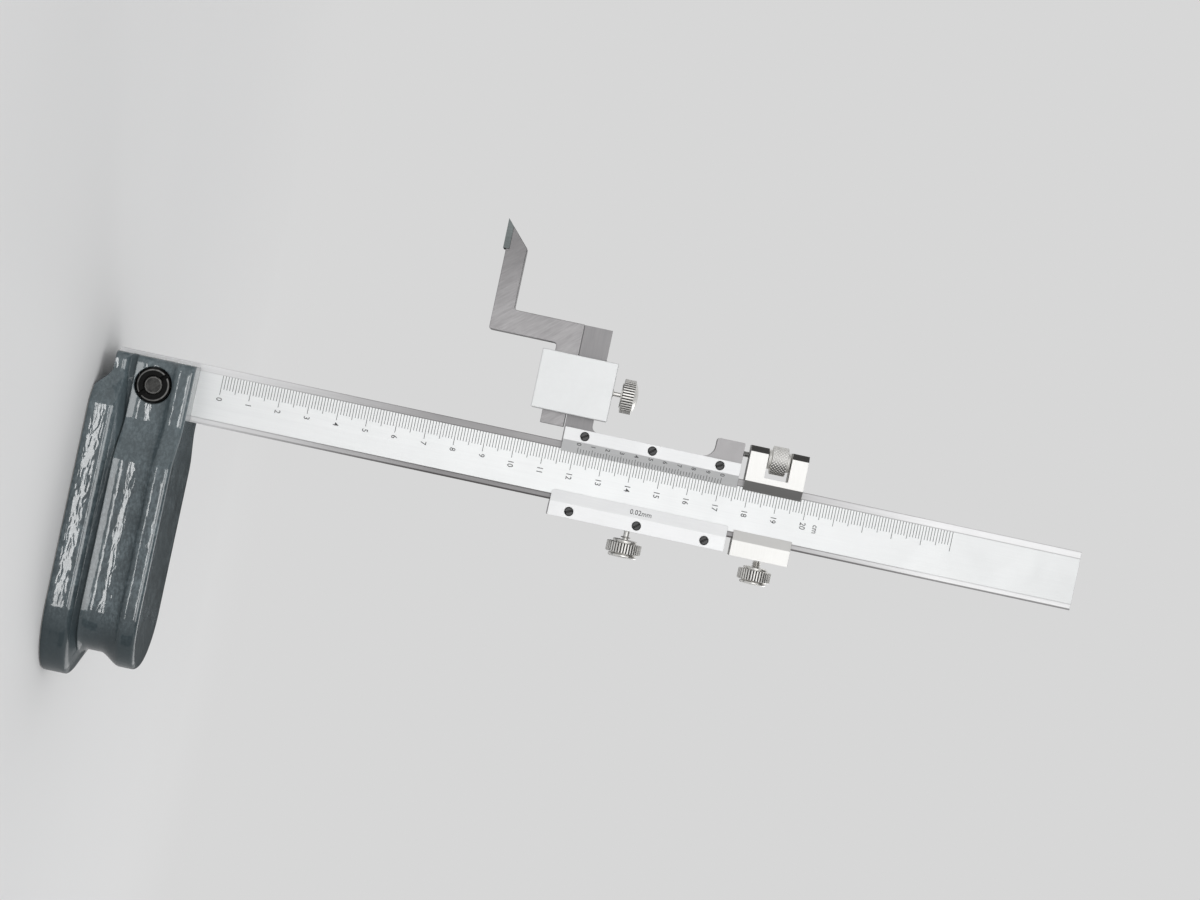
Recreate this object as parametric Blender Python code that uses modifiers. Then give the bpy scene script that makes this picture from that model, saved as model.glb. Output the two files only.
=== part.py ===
# Height gauge: a graduated beam on a cast base, with a vernier slider, a fine-adjust
# carriage and a clamped scriber. Metres, Z up along the beam, X from scriber to heel.
# The origin is the centre of the ground underside of the base.
import math

import bmesh
import bpy
from mathutils import Vector

MM = 0.001

# where the beam's left edge stands, seen from the origin
BEAM_LEFT = -60.0 * MM

# beam
BEAM_WIDTH = 20.0 * MM
BEAM_THICK = 5.0 * MM
BEAM_BOTTOM = 3.1 * MM
BEAM_TOP = 332.3 * MM
LAND_LEFT = 2.5 * MM
LAND_RIGHT_MARGIN = 2.1 * MM
LAND_STEP = 0.5 * MM
BEAM_CHAMFER = 0.35 * MM

# base casting: its side runs up from the ground edge over a leaning flange, a groove, a lip,
# a hollow side and a rounded top rail, whose heights add up to 30.8 mm
GROUND_HALF = 22.0 * MM
GROUND_ROUND = 0.9 * MM
FLANGE_FACE = 5.8 * MM
FLANGE_LEAN = 6.5
FLANGE_BROW = 3.0 * MM
GROOVE_HALF = 19.7 * MM
GROOVE_LOW = 9.6 * MM
GROOVE_HIGH = 11.7 * MM
LIP_HALF = 21.5 * MM
LIP_HEIGHT = 12.1 * MM
LIP_LEAN = 40.0
HOLLOW_FOOT = 9.0 * MM
HOLLOW_WALL = 34.0 * MM
HOLLOW_LEAN = 9.0
HOLLOW_HEAD = 4.5 * MM
RAIL_UNDERCUT = -45.0
RAIL_UNDER = 1.8 * MM
RAIL_FACE = 12.8 * MM
RAIL_LEANS = (7.0, 18.0)
RAIL_BROW = 2.8 * MM
BROW_STEPS = 4
NOSE_INSET = 6.5 * MM
NOSE_SETBACK = 1.4 * MM
NOSE_CORNER = 2.4 * MM
HEEL_CENTRE = 86.5 * MM
HEEL_FOOT = 24.9 * MM
HEEL_WAIST = 15.2 * MM
HEEL_HEAD = 18.8 * MM
WAIST_RISE = (7.6 * MM, 13.6 * MM)
WAIST_FALL = (18.0 * MM, 25.0 * MM)
BODY_BEND = (22.0 * MM, 37.0 * MM)
FLANGE_BEND = (7.0 * MM, 20.0 * MM)
NOSE_UNDERSIDE = 4.6 * MM
RECESS_START = 7.5 * MM
RECESS_END = 15.5 * MM
SLOT_SIDE_GAP = 0.3 * MM
SLOT_FLOOR = 2.8 * MM

# stud and nut that hold the beam
NUT_ALONG = 10.4 * MM
NUT_HEIGHT = 18.2 * MM
NUT_RADIUS = 5.85 * MM
NUT_THICK = 4.2 * MM
NUT_SINK = 0.8 * MM
NUT_SLOT_WIDTH = 1.5 * MM
NUT_SLOT_DEPTH = 1.6 * MM
NUT_SLOT_TURN = math.radians(135.0)
COUNTERBORE_RADIUS = 6.2 * MM
STUD_RADIUS = 3.0 * MM
STUD_SINK = 0.5 * MM
STUD_BACK_REACH = 8.0 * MM

# slider frame, its jaw and its lug
SLIDER_WALL = 5.0 * MM
SLIDER_BOTTOM = 153.9 * MM
SLIDER_LENGTH = 60.6 * MM
FRAME_BACK = 6.5 * MM
JAW_LEFT = -39.5 * MM
JAW_DROP = 0.3 * MM
JAW_HEIGHT = 9.5 * MM
JAW_FILLET = 2.0 * MM
LUG_LEFT = -12.0 * MM
LUG_HEIGHT = 9.5 * MM
LUG_FILLET = 4.0 * MM
LUG_BACK = 4.0 * MM
LUG_BACK_STEP = 0.2 * MM
CHANNEL_GAP = 0.15 * MM
GIB_THICK = 0.95 * MM
GIB_END_GAP = 1.2 * MM

# plates on the slider
PLATE_THICK = 2.0 * MM
PLATE_REVEAL = 0.4 * MM
PLATE_LAND_GAP = 0.12 * MM
BEVEL_RUN = 3.9 * MM
VERNIER_EDGE = 3.1 * MM
GUIDE_OVERLAP = 3.7 * MM
GUIDE_CORNER = 1.2 * MM
BEVEL_LIP = 0.25 * MM
PLATE_SCREW_LEFT_MARGIN = 2.1 * MM
PLATE_SCREW_RIGHT_MARGIN = 2.3 * MM
PLATE_SCREW_LOW_MARGIN = 7.4 * MM
PLATE_SCREW_HIGH_MARGIN = 7.0 * MM
PLATE_SCREW_RADIUS = 1.5 * MM
PLATE_SCREW_SHANK = 0.9 * MM
PLATE_SCREW_REACH = 3.0 * MM
PLATE_SCREW_RIM = 0.35 * MM
PLATE_SCREW_NECK = 1.0 * MM
PLATE_SCREW_SINK = 0.1 * MM
PLATE_SCREW_SLOT = 0.4 * MM
PLATE_SCREW_SLOT_DEPTH = 0.55 * MM
SCREW_SIDES = 16
PLATE_SCREW_TURNS = (-58.0, -50.0, -62.0, -70.0, -48.0, -55.0)

# fine-adjust carriage
CARRIAGE_WALL = 5.7 * MM
CARRIAGE_ABOVE_SLIDER = 2.2 * MM
CARRIAGE_LENGTH = 19.8 * MM
CARRIAGE_CHAMFER = 2.0 * MM
LIP_RUN = 3.3 * MM
LIP_RIGHT_OVERLAP = 2.9 * MM
WINDOW_RIGHT = -2.0 * MM
WINDOW_RISE = 0.25 * MM
WINDOW_HEIGHT = 8.1 * MM

# fine-adjust rod and nut
ROD_ALONG = -8.5 * MM
ROD_DEPTH = 0.6 * MM
ROD_RADIUS = 1.0 * MM
ROD_TOP_SINK = 1.9 * MM
FINE_NUT_RADIUS = 4.8 * MM
FINE_NUT_HUB = 3.3 * MM
FINE_NUT_KNURL = 5.2 * MM
FINE_NUT_TEETH = 22
FINE_NUT_ROWS = 6

# scriber clamp box
BOX_LEFT = -29.0 * MM
BOX_RIGHT = -9.1 * MM
BOX_WALL = 2.8 * MM
BOX_END_WALL = 4.0 * MM
BOX_EDGE = 0.25 * MM

# scriber and its tip
SCRIBER_RIGHT = -4.6 * MM
SHANK_HEIGHT = 8.04 * MM
ARM_LEFT = -39.6 * MM
ARM_RIGHT = -31.7 * MM
SCRIBER_DROP = 32.34 * MM
FOOT_HEIGHT = 7.0 * MM
EDGE_PROUD = 1.0 * MM
TOE_START = -60.5 * MM
TOE_END = -69.2 * MM
TIP_START = -59.2 * MM
TIP_THICK = 2.1 * MM
TIP_RELIEF = 0.25 * MM
SCRIBER_FILLET = 1.0 * MM

# knurled clamp screws
CLAMP_BELOW_SCREW = 2.6 * MM
CLAMP_SHANK = 1.5 * MM
CLAMP_NECK = 0.9 * MM
CLAMP_END_GAP = 0.05 * MM
KNURL_TEETH = 36
KNURL_DEPTH = 0.3 * MM
KNURL_CHAMFER = 0.35 * MM
# neck length, then length and radius of collar, knurl and cap
SLIDER_KNOB = (3.1 * MM, (1.0 * MM, 4.1 * MM), (3.6 * MM, 5.95 * MM), (1.4 * MM, 4.6 * MM))
CARRIAGE_KNOB = (2.3 * MM, (0.9 * MM, 4.1 * MM), (3.7 * MM, 5.5 * MM), (1.2 * MM, 4.3 * MM))
BOX_KNOB = (2.8 * MM, (0.7 * MM, 3.9 * MM), (3.8 * MM, 5.8 * MM), (1.4 * MM, 3.9 * MM))

# clearances between pieces
SEAT_GAP = 0.02 * MM
RUN_GAP = 0.3 * MM
BORE_GAP = 0.08 * MM
SLIDE_GAP = 0.06 * MM

# how far a cutter runs past the face it opens
CUT_MARGIN = 2.0 * MM

# places that follow from the sizes above
BEAM_FRONT = -BEAM_THICK / 2
BEAM_BACK = BEAM_THICK / 2
LAND_RIGHT = BEAM_WIDTH - LAND_RIGHT_MARGIN
SLIDER_LEFT = -SLIDER_WALL
SLIDER_RIGHT = BEAM_WIDTH + SLIDER_WALL
VERNIER_FLAT = VERNIER_EDGE - BEVEL_RUN
GUIDE_EDGE = BEAM_WIDTH - GUIDE_OVERLAP
GUIDE_FLAT = GUIDE_EDGE + BEVEL_RUN
PLATE_SCREW_LEFT = SLIDER_LEFT + PLATE_SCREW_LEFT_MARGIN
PLATE_SCREW_RIGHT = SLIDER_RIGHT - PLATE_SCREW_RIGHT_MARGIN
CARRIAGE_LEFT = LUG_LEFT
CARRIAGE_RIGHT = BEAM_WIDTH + CARRIAGE_WALL
LIP_RIGHT_EDGE = BEAM_WIDTH - LIP_RIGHT_OVERLAP
LIP_RIGHT_START = LIP_RIGHT_EDGE + LIP_RUN
PLATE_SEAT = BEAM_FRONT - PLATE_LAND_GAP
PLATE_FRONT = PLATE_SEAT - PLATE_THICK
FRAME_FRONT = PLATE_SEAT + SEAT_GAP
CHANNEL_BACK = BEAM_BACK + RUN_GAP
CHANNEL_LEFT = -CHANNEL_GAP
GIB_LEFT = BEAM_WIDTH + CHANNEL_GAP
GIB_RIGHT = GIB_LEFT + GIB_THICK
CHANNEL_RIGHT = GIB_RIGHT + CHANNEL_GAP * 2
NUT_FRONT = NOSE_INSET - LIP_HALF + NUT_SINK
SLIDER_TOP = SLIDER_BOTTOM + SLIDER_LENGTH
LUG_BOTTOM = SLIDER_TOP - LUG_HEIGHT
SCREW_LOW = SLIDER_BOTTOM + PLATE_SCREW_LOW_MARGIN
SCREW_HIGH = SLIDER_TOP - PLATE_SCREW_HIGH_MARGIN
SCREW_MIDDLE = (SCREW_LOW + SCREW_HIGH) / 2
SLIDER_CLAMP_HEIGHT = SCREW_MIDDLE - CLAMP_BELOW_SCREW
CARRIAGE_BOTTOM = SLIDER_TOP + CARRIAGE_ABOVE_SLIDER
CARRIAGE_TOP = CARRIAGE_BOTTOM + CARRIAGE_LENGTH
CARRIAGE_CLAMP_HEIGHT = (CARRIAGE_BOTTOM + CARRIAGE_TOP) / 2
WINDOW_BOTTOM = CARRIAGE_CLAMP_HEIGHT + WINDOW_RISE - WINDOW_HEIGHT / 2
WINDOW_TOP = WINDOW_BOTTOM + WINDOW_HEIGHT
ROD_TOP = CARRIAGE_TOP - ROD_TOP_SINK
FINE_NUT_HEIGHT = WINDOW_HEIGHT - RUN_GAP * 2
JAW_BOTTOM = SLIDER_BOTTOM - JAW_DROP
JAW_TOP = JAW_BOTTOM + JAW_HEIGHT
SCRIBER_TOP = JAW_BOTTOM - SLIDE_GAP
SHANK_BOTTOM = SCRIBER_TOP - SHANK_HEIGHT
EDGE_HEIGHT = SCRIBER_TOP - SCRIBER_DROP
FOOT_BOTTOM = EDGE_HEIGHT + EDGE_PROUD
FOOT_TOP = FOOT_BOTTOM + FOOT_HEIGHT
BOX_DEPTH = (FRAME_FRONT + FRAME_BACK) / 2
BOX_FLOOR = SHANK_BOTTOM - SEAT_GAP
BOX_CEILING = JAW_TOP + RUN_GAP
BOX_BOTTOM = BOX_FLOOR - BOX_END_WALL
BOX_TOP = BOX_CEILING + BOX_END_WALL
BOX_CLAMP_ALONG = (BOX_LEFT + BOX_RIGHT) / 2

parts = None
cutters = None


def along(distance):
    """Row X of a distance measured from the beam's left edge."""
    return BEAM_LEFT + distance


def clear_scene():
    for old in list(bpy.data.objects):
        bpy.data.objects.remove(old, do_unlink=True)
    for old in list(bpy.data.collections):
        bpy.data.collections.remove(old)


def new_collection(name):
    collection = bpy.data.collections.new(name)
    bpy.context.scene.collection.children.link(collection)
    return collection


def material(name, colour, roughness, metallic):
    made = bpy.data.materials.new(name)
    made.use_nodes = True
    shader = made.node_tree.nodes["Principled BSDF"]
    shader.inputs["Base Color"].default_value = (*colour, 1.0)
    shader.inputs["Roughness"].default_value = roughness
    shader.inputs["Metallic"].default_value = metallic
    made.diffuse_color = (*colour, 1.0)
    return made


def add_part(name, mesh, look, origin=(0.0, 0.0, 0.0)):
    """A finished piece; its mesh is given around its own origin."""
    piece = bpy.data.objects.new(name, mesh)
    piece.location = origin
    mesh.materials.clear()
    mesh.materials.append(look)
    parts.objects.link(piece)
    return piece


def add_cutter(name, mesh, origin=(0.0, 0.0, 0.0)):
    tool = bpy.data.objects.new(name, mesh)
    tool.location = origin
    tool.hide_render = True
    tool.display_type = "WIRE"
    cutters.objects.link(tool)
    return tool


def cut(piece, tool):
    step = piece.modifiers.new(tool.name, "BOOLEAN")
    step.operation = "DIFFERENCE"
    step.solver = "EXACT"
    step.object = tool


def bevel(piece, width, segments=1, angle=40.0):
    step = piece.modifiers.new("edge_rounding", "BEVEL")
    step.width = width
    step.segments = segments
    step.limit_method = "ANGLE"
    step.angle_limit = math.radians(angle)
    return step


def mesh_from(work, name):
    bmesh.ops.recalc_face_normals(work, faces=work.faces)
    mesh = bpy.data.meshes.new(name)
    work.to_mesh(mesh)
    work.free()
    return mesh


def smooth(mesh, angle=35.0):
    for face in mesh.polygons:
        face.use_smooth = True
    mesh.set_sharp_from_angle(angle=math.radians(angle))


def block_mesh(name, low, high):
    """A box between two corners."""
    low, high = Vector(low), Vector(high)
    work = bmesh.new()
    bmesh.ops.create_cube(work, size=1.0)
    bmesh.ops.scale(work, vec=high - low, verts=work.verts)
    bmesh.ops.translate(work, vec=(low + high) / 2, verts=work.verts)
    return mesh_from(work, name)


def add_rod(work, radius, start, end, axis, sides, centre=(0.0, 0.0, 0.0)):
    """Adds a round bar that runs from start to end along one axis."""
    made = bmesh.ops.create_cone(
        work, cap_ends=True, segments=sides, radius1=radius, radius2=radius, depth=end - start
    )
    bmesh.ops.translate(work, vec=(0, 0, (start + end) / 2), verts=made["verts"])
    spin = Vector((0, 0, 1)).rotation_difference(Vector(axis)).to_matrix()
    bmesh.ops.rotate(work, matrix=spin, verts=made["verts"])
    bmesh.ops.translate(work, vec=centre, verts=made["verts"])


def rod_mesh(name, radius, start, end, axis, sides=24):
    """One round bar around the origin."""
    work = bmesh.new()
    add_rod(work, radius, start, end, axis, sides)
    mesh = mesh_from(work, name)
    smooth(mesh)
    return mesh


def arc(centre, radius, start, end, count):
    """Points of a round stretch, angles in degrees."""
    points = []
    for i in range(count + 1):
        angle = math.radians(start + (end - start) * i / count)
        points.append((centre[0] + radius * math.cos(angle), centre[1] + radius * math.sin(angle)))
    return points


def outline_mesh(name, outline, front, back):
    """A flat outline in X and Z, given thickness along Y by a filled curve."""
    curve = bpy.data.curves.new(name, "CURVE")
    curve.dimensions = "2D"
    curve.fill_mode = "BOTH"
    curve.extrude = (back - front) / 2
    line = curve.splines.new("POLY")
    line.points.add(len(outline) - 1)
    for point, (x, z) in zip(line.points, outline):
        point.co = (x, z, 0.0, 1.0)
    line.use_cyclic_u = True
    holder = bpy.data.objects.new(name, curve)
    bpy.context.scene.collection.objects.link(holder)
    bpy.context.view_layer.update()
    evaluated = holder.evaluated_get(bpy.context.evaluated_depsgraph_get())
    mesh = bpy.data.meshes.new_from_object(evaluated)
    bpy.data.objects.remove(holder)
    bpy.data.curves.remove(curve)
    work = bmesh.new()
    work.from_mesh(mesh)
    bpy.data.meshes.remove(mesh)
    bmesh.ops.remove_doubles(work, verts=work.verts, dist=1e-7)
    for vert in work.verts:
        vert.co = Vector((vert.co.x, (front + back) / 2 - vert.co.z, vert.co.y))
    return mesh_from(work, name)


def loft_mesh(name, rings):
    """A closed body through rings of equal point counts, with flat ends."""
    work = bmesh.new()
    rows = [[work.verts.new(point) for point in ring] for ring in rings]
    count = len(rows[0])
    for lower, upper in zip(rows, rows[1:]):
        for i in range(count):
            j = (i + 1) % count
            work.faces.new((lower[i], lower[j], upper[j], upper[i]))
    work.faces.new(list(reversed(rows[0])))
    work.faces.new(rows[-1])
    return mesh_from(work, name)


def turned(name, profile, look, origin, axis, steps=32):
    """A turned piece: its profile of (radius, height) runs down its outer side."""
    work = bmesh.new()
    points = [work.verts.new((radius, 0.0, height)) for radius, height in profile]
    for first, second in zip(points, points[1:]):
        work.edges.new((first, second))
    mesh = bpy.data.meshes.new(name)
    work.to_mesh(mesh)
    work.free()
    piece = add_part(name, mesh, look, origin)
    spin = piece.modifiers.new("turning", "SCREW")
    spin.steps = steps
    spin.render_steps = steps
    spin.use_merge_vertices = True
    spin.merge_threshold = 1e-6
    spin.use_smooth_shade = False
    piece.rotation_mode = "QUATERNION"
    piece.rotation_quaternion = Vector((0, 0, 1)).rotation_difference(Vector(axis))
    return piece


def ease(t):
    """Runs from 0 to 1 with a soft start and end."""
    t = min(max(t, 0.0), 1.0)
    return t * t * (3 - 2 * t)


def roll(side, radius, start, end, steps):
    """Carries a (half width, height) line on through an arc; leans in degrees, minus is hollow."""
    width, height = side[-1]
    first = math.radians(start)
    for i in range(1, steps + 1):
        lean = math.radians(start + (end - start) * i / steps)
        across = radius * (math.cos(lean) - math.cos(first))
        up = radius * (math.sin(lean) - math.sin(first))
        side.append((width + across, height + up))


def base_section():
    """Half of the casting's side, from the ground face up."""
    side = [(GROUND_HALF, 0.0)]
    roll(side, GROUND_ROUND, -90, 0, 2)
    inward = FLANGE_FACE * math.tan(math.radians(FLANGE_LEAN))
    side.append((side[-1][0] - inward, side[-1][1] + FLANGE_FACE))
    roll(side, FLANGE_BROW, FLANGE_LEAN, 80, 4)
    side.append((GROOVE_HALF, GROOVE_LOW))
    side.append((GROOVE_HALF, GROOVE_HIGH))
    side.append((LIP_HALF, LIP_HEIGHT))
    roll(side, -HOLLOW_FOOT, LIP_LEAN, HOLLOW_LEAN, 3)
    roll(side, -HOLLOW_WALL, HOLLOW_LEAN, 0, 2)
    roll(side, -HOLLOW_HEAD, 0, RAIL_UNDERCUT, 3)
    roll(side, RAIL_UNDER, RAIL_UNDERCUT, RAIL_LEANS[0], 2)
    roll(side, RAIL_FACE, RAIL_LEANS[0], RAIL_LEANS[1], 2)
    roll(side, RAIL_BROW, RAIL_LEANS[1], 90, BROW_STEPS)
    return side


def heel_reach(height):
    """How far the heel reaches past its centre: a long foot, a waist and a shorter head."""
    low, high = WAIST_RISE
    reach = HEEL_FOOT + (HEEL_WAIST - HEEL_FOOT) * ease((height - low) / (high - low))
    low, high = WAIST_FALL
    return reach + (HEEL_HEAD - HEEL_WAIST) * ease((height - low) / (high - low))


def base_ring(width, height, rounding):
    """One horizontal outline of the casting: nose, side bend, straight side, round heel."""
    nose = width - NOSE_INSET
    reach = heel_reach(height) - rounding
    share = ease((height - GROOVE_LOW) / (LIP_HEIGHT - GROOVE_LOW))
    start = FLANGE_BEND[0] + (BODY_BEND[0] - FLANGE_BEND[0]) * share
    end = FLANGE_BEND[1] + (BODY_BEND[1] - FLANGE_BEND[1]) * share
    side = arc((NOSE_SETBACK + NOSE_CORNER, nose - NOSE_CORNER), NOSE_CORNER, 180.0, 90.0, 4)
    for i in range(8):
        side.append((start + (end - start) * i / 7, nose + (width - nose) * ease(i / 7)))
    for i in range(9):
        angle = math.radians(90.0 - 88.0 * i / 8)
        side.append((HEEL_CENTRE + reach * math.cos(angle), width * math.sin(angle)))
    mirrored = [(x, -y) for x, y in reversed(side)]
    return [(along(x), y, height) for x, y in side + mirrored]


def nose_recess():
    """The step that lifts the underside of the nose, drawn from the side."""
    rise = NOSE_UNDERSIDE
    points = [(along(-CUT_MARGIN), -CUT_MARGIN), (along(-CUT_MARGIN), rise)]
    points.append((along(RECESS_START), rise))
    for i in range(1, 8):
        x = RECESS_START + (RECESS_END - RECESS_START) * i / 8
        points.append((along(x), rise * (1 - ease(i / 8))))
    points.append((along(RECESS_END), 0.0))
    points.append((along(RECESS_END), -CUT_MARGIN))
    reach = GROUND_HALF + CUT_MARGIN
    return outline_mesh("nose_recess", points, -reach, reach)


def build_base(look):
    side = base_section()
    ground_half = GROUND_HALF + GROUND_ROUND
    brow = side[-1 - BROW_STEPS]
    rings = []
    for width, height in side:
        rounding = max(ground_half - width, 0.0) if height < GROUND_ROUND else 0.0
        if height > brow[1]:
            rounding = brow[0] - width
        rings.append(base_ring(width, height, rounding))
    mesh = loft_mesh("base_casting", rings)
    smooth(mesh, 50.0)
    base = add_part("base_casting", mesh, look)
    cut(base, add_cutter("cut_nose_recess", nose_recess()))
    slot = block_mesh(
        "cut_beam_slot",
        (along(-CUT_MARGIN), BEAM_FRONT - SLOT_SIDE_GAP, SLOT_FLOOR),
        (along(BEAM_WIDTH + SLOT_SIDE_GAP), BEAM_BACK + SLOT_SIDE_GAP, side[-1][1] + CUT_MARGIN),
    )
    cut(base, add_cutter("cut_beam_slot", slot))
    centre = (along(NUT_ALONG), 0.0, NUT_HEIGHT)
    nut_seat = NUT_FRONT + NUT_THICK + SEAT_GAP
    bore = rod_mesh(
        "cut_counterbore", COUNTERBORE_RADIUS, -GROUND_HALF, nut_seat, (0, 1, 0), 36
    )
    cut(base, add_cutter("cut_counterbore", bore, centre))
    stud_end = STUD_BACK_REACH + SEAT_GAP
    hole = rod_mesh(
        "cut_stud_hole", STUD_RADIUS + BORE_GAP, nut_seat - CUT_MARGIN, stud_end, (0, 1, 0), 32
    )
    cut(base, add_cutter("cut_stud_hole", hole, centre))
    return base


def build_beam(look):
    """The beam's cross-section, drawn from above and run up the whole height."""
    front, back, step, c = BEAM_FRONT, BEAM_BACK, LAND_STEP, BEAM_CHAMFER
    section = (
        (0.0, front + step),
        (LAND_LEFT, front + step),
        (LAND_LEFT, front),
        (LAND_RIGHT, front),
        (LAND_RIGHT, front + step),
        (BEAM_WIDTH, front + step),
        (BEAM_WIDTH, back - c),
        (BEAM_WIDTH - c, back),
        (c, back),
        (0.0, back - c),
    )
    rings = []
    for height in (BEAM_BOTTOM, BEAM_TOP):
        rings.append([(along(x), y, height) for x, y in section])
    beam = add_part("beam", loft_mesh("beam", rings), look)
    hole = rod_mesh(
        "cut_beam_hole", STUD_RADIUS + RUN_GAP, -BEAM_THICK, BEAM_THICK, (0, 1, 0), 32
    )
    cut(beam, add_cutter("cut_beam_hole", hole, (along(NUT_ALONG), 0.0, NUT_HEIGHT)))
    return beam


def build_stud(look):
    """The stud that clamps the beam; its domed end shows inside the nut."""
    front = NUT_FRONT + STUD_SINK
    length = STUD_BACK_REACH - front
    r = STUD_RADIUS
    profile = [
        (0.0, length),
        (r * 0.45, length - 0.05 * MM),
        (r - 0.35 * MM, length - 0.15 * MM),
        (r, length - 0.5 * MM),
        (r, 0.5 * MM),
        (r - 0.5 * MM, 0.0),
        (0.0, 0.0),
    ]
    origin = (along(NUT_ALONG), STUD_BACK_REACH, NUT_HEIGHT)
    return turned("beam_stud", profile, look, origin, (0, -1, 0), 32)


def build_beam_nut(look):
    """Round nut with two slots; its bevelled rim catches the light."""
    r, t, bore = NUT_RADIUS, NUT_THICK, STUD_RADIUS + BORE_GAP
    profile = [
        (bore + 0.3 * MM, t),
        (r - 1.0 * MM, t),
        (r - 0.4 * MM, t - 0.35 * MM),
        (r, t - 0.8 * MM),
        (r, 0.3 * MM),
        (r - 0.3 * MM, 0.0),
        (bore, 0.0),
        (bore, t - 0.3 * MM),
        (bore + 0.3 * MM, t),
    ]
    origin = (along(NUT_ALONG), NUT_FRONT + NUT_THICK, NUT_HEIGHT)
    nut = turned("beam_nut", profile, look, origin, (0, -1, 0), 36)
    half = NUT_SLOT_WIDTH / 2
    reach = NUT_RADIUS + CUT_MARGIN
    low = (-reach, NUT_FRONT - CUT_MARGIN, -half)
    groove = block_mesh("cut_nut_slot", low, (reach, NUT_FRONT + NUT_SLOT_DEPTH, half))
    tool = add_cutter("cut_nut_slot", groove, (along(NUT_ALONG), 0.0, NUT_HEIGHT))
    tool.rotation_euler = (0.0, -NUT_SLOT_TURN, 0.0)
    cut(nut, tool)
    return nut


def slider_outline():
    """Frame, jaw and lug seen from the front."""
    left, right = along(SLIDER_LEFT), along(SLIDER_RIGHT)
    step = along(BOX_CLAMP_ALONG)
    points = [(along(JAW_LEFT), JAW_BOTTOM), (step - JAW_DROP, JAW_BOTTOM)]
    points += [(step, SLIDER_BOTTOM), (right, SLIDER_BOTTOM), (right, SLIDER_TOP)]
    points += arc((along(LUG_LEFT) + 0.5 * MM, SLIDER_TOP - 0.5 * MM), 0.5 * MM, 90, 180, 2)
    points += arc((along(LUG_LEFT) + 1 * MM, LUG_BOTTOM + 1 * MM), 1 * MM, 180, 270, 4)
    reach = LUG_FILLET
    points += arc((left - reach, LUG_BOTTOM - reach), reach, 90, 0, 7)
    points += arc((left - JAW_FILLET, JAW_TOP + JAW_FILLET), JAW_FILLET, 0, -90, 5)
    points.append((along(JAW_LEFT), JAW_TOP))
    return points


def build_slider(look):
    mesh = outline_mesh("slider_frame", slider_outline(), FRAME_FRONT, FRAME_BACK)
    slider = add_part("slider_frame", mesh, look)
    channel = block_mesh(
        "cut_slider_channel",
        (along(CHANNEL_LEFT), FRAME_FRONT - CUT_MARGIN, SLIDER_BOTTOM - CUT_MARGIN),
        (along(CHANNEL_RIGHT), CHANNEL_BACK, SLIDER_TOP + CUT_MARGIN),
    )
    cut(slider, add_cutter("cut_slider_channel", channel))
    lug_back = block_mesh(
        "cut_lug_back",
        (along(LUG_LEFT) - CUT_MARGIN, LUG_BACK, LUG_BOTTOM - LUG_FILLET - CUT_MARGIN),
        (along(SLIDER_LEFT) - LUG_BACK_STEP, FRAME_BACK + CUT_MARGIN, SLIDER_TOP + CUT_MARGIN),
    )
    cut(slider, add_cutter("cut_lug_back", lug_back))
    low, high = LUG_BOTTOM - CUT_MARGIN, SLIDER_TOP + CUT_MARGIN
    rod_hole = rod_mesh("cut_rod_seat", ROD_RADIUS + SEAT_GAP, low, high, (0, 0, 1), 16)
    cut(slider, add_cutter("cut_rod_seat", rod_hole, (along(ROD_ALONG), ROD_DEPTH, 0.0)))
    cut_side_hole(slider, "cut_slider_clamp_hole", SLIDER_RIGHT, SLIDER_CLAMP_HEIGHT)
    cut(slider, add_cutter("cut_frame_screw_holes", frame_screw_holes()))
    return slider


def frame_screw_holes():
    """The six tapped holes as one cutter, so that the frame's face is cut in one go."""
    work = bmesh.new()
    radius, depth = PLATE_SCREW_SHANK + BORE_GAP, PLATE_SCREW_REACH + RUN_GAP
    for x, height in plate_screw_places():
        add_rod(work, radius, 0.0, depth, (0, 1, 0), SCREW_SIDES, (x, PLATE_FRONT, height))
    return mesh_from(work, "cut_frame_screw_holes")


def cut_side_hole(piece, name, face, height):
    """The hole of a clamp screw, from the channel out through the right side."""
    inner = along(GIB_RIGHT) - CHANNEL_GAP
    outer = along(face) + CUT_MARGIN
    hole = rod_mesh(name, CLAMP_SHANK + BORE_GAP, inner, outer, (1, 0, 0), 24)
    cut(piece, add_cutter(name, hole, (0.0, 0.0, height)))


def plate_screw_places():
    """Left column from the bottom up, then the right column."""
    places = []
    for x in (PLATE_SCREW_LEFT, PLATE_SCREW_RIGHT):
        for height in (SCREW_LOW, SCREW_MIDDLE, SCREW_HIGH):
            places.append((along(x), height))
    return places


def cut_screw_seat(plate, x, height):
    """A countersunk seat for one plate screw."""
    rings = []
    wide, narrow = PLATE_SCREW_RADIUS + BORE_GAP, PLATE_SCREW_SHANK + BORE_GAP
    rim, neck = PLATE_SCREW_RIM, PLATE_SCREW_NECK
    through = PLATE_THICK + CUT_MARGIN
    for radius, depth in ((wide, -CUT_MARGIN), (wide, rim), (narrow, neck), (narrow, through)):
        ring = []
        for i in range(SCREW_SIDES):
            angle = 2 * math.pi * i / SCREW_SIDES
            ring.append((radius * math.cos(angle), depth, radius * math.sin(angle)))
        rings.append(ring)
    seat = add_cutter("cut_screw_seat", loft_mesh("cut_screw_seat", rings), (x, PLATE_FRONT, height))
    cut(plate, seat)


def bevelled_plate(name, section, bottom, look):
    """A plate whose cross-section, seen from above, runs up the slider."""
    rings = []
    for height in (bottom, SLIDER_TOP):
        rings.append([(along(x), y, height) for x, y in section])
    return add_part(name, loft_mesh(name, rings), look)


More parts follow.
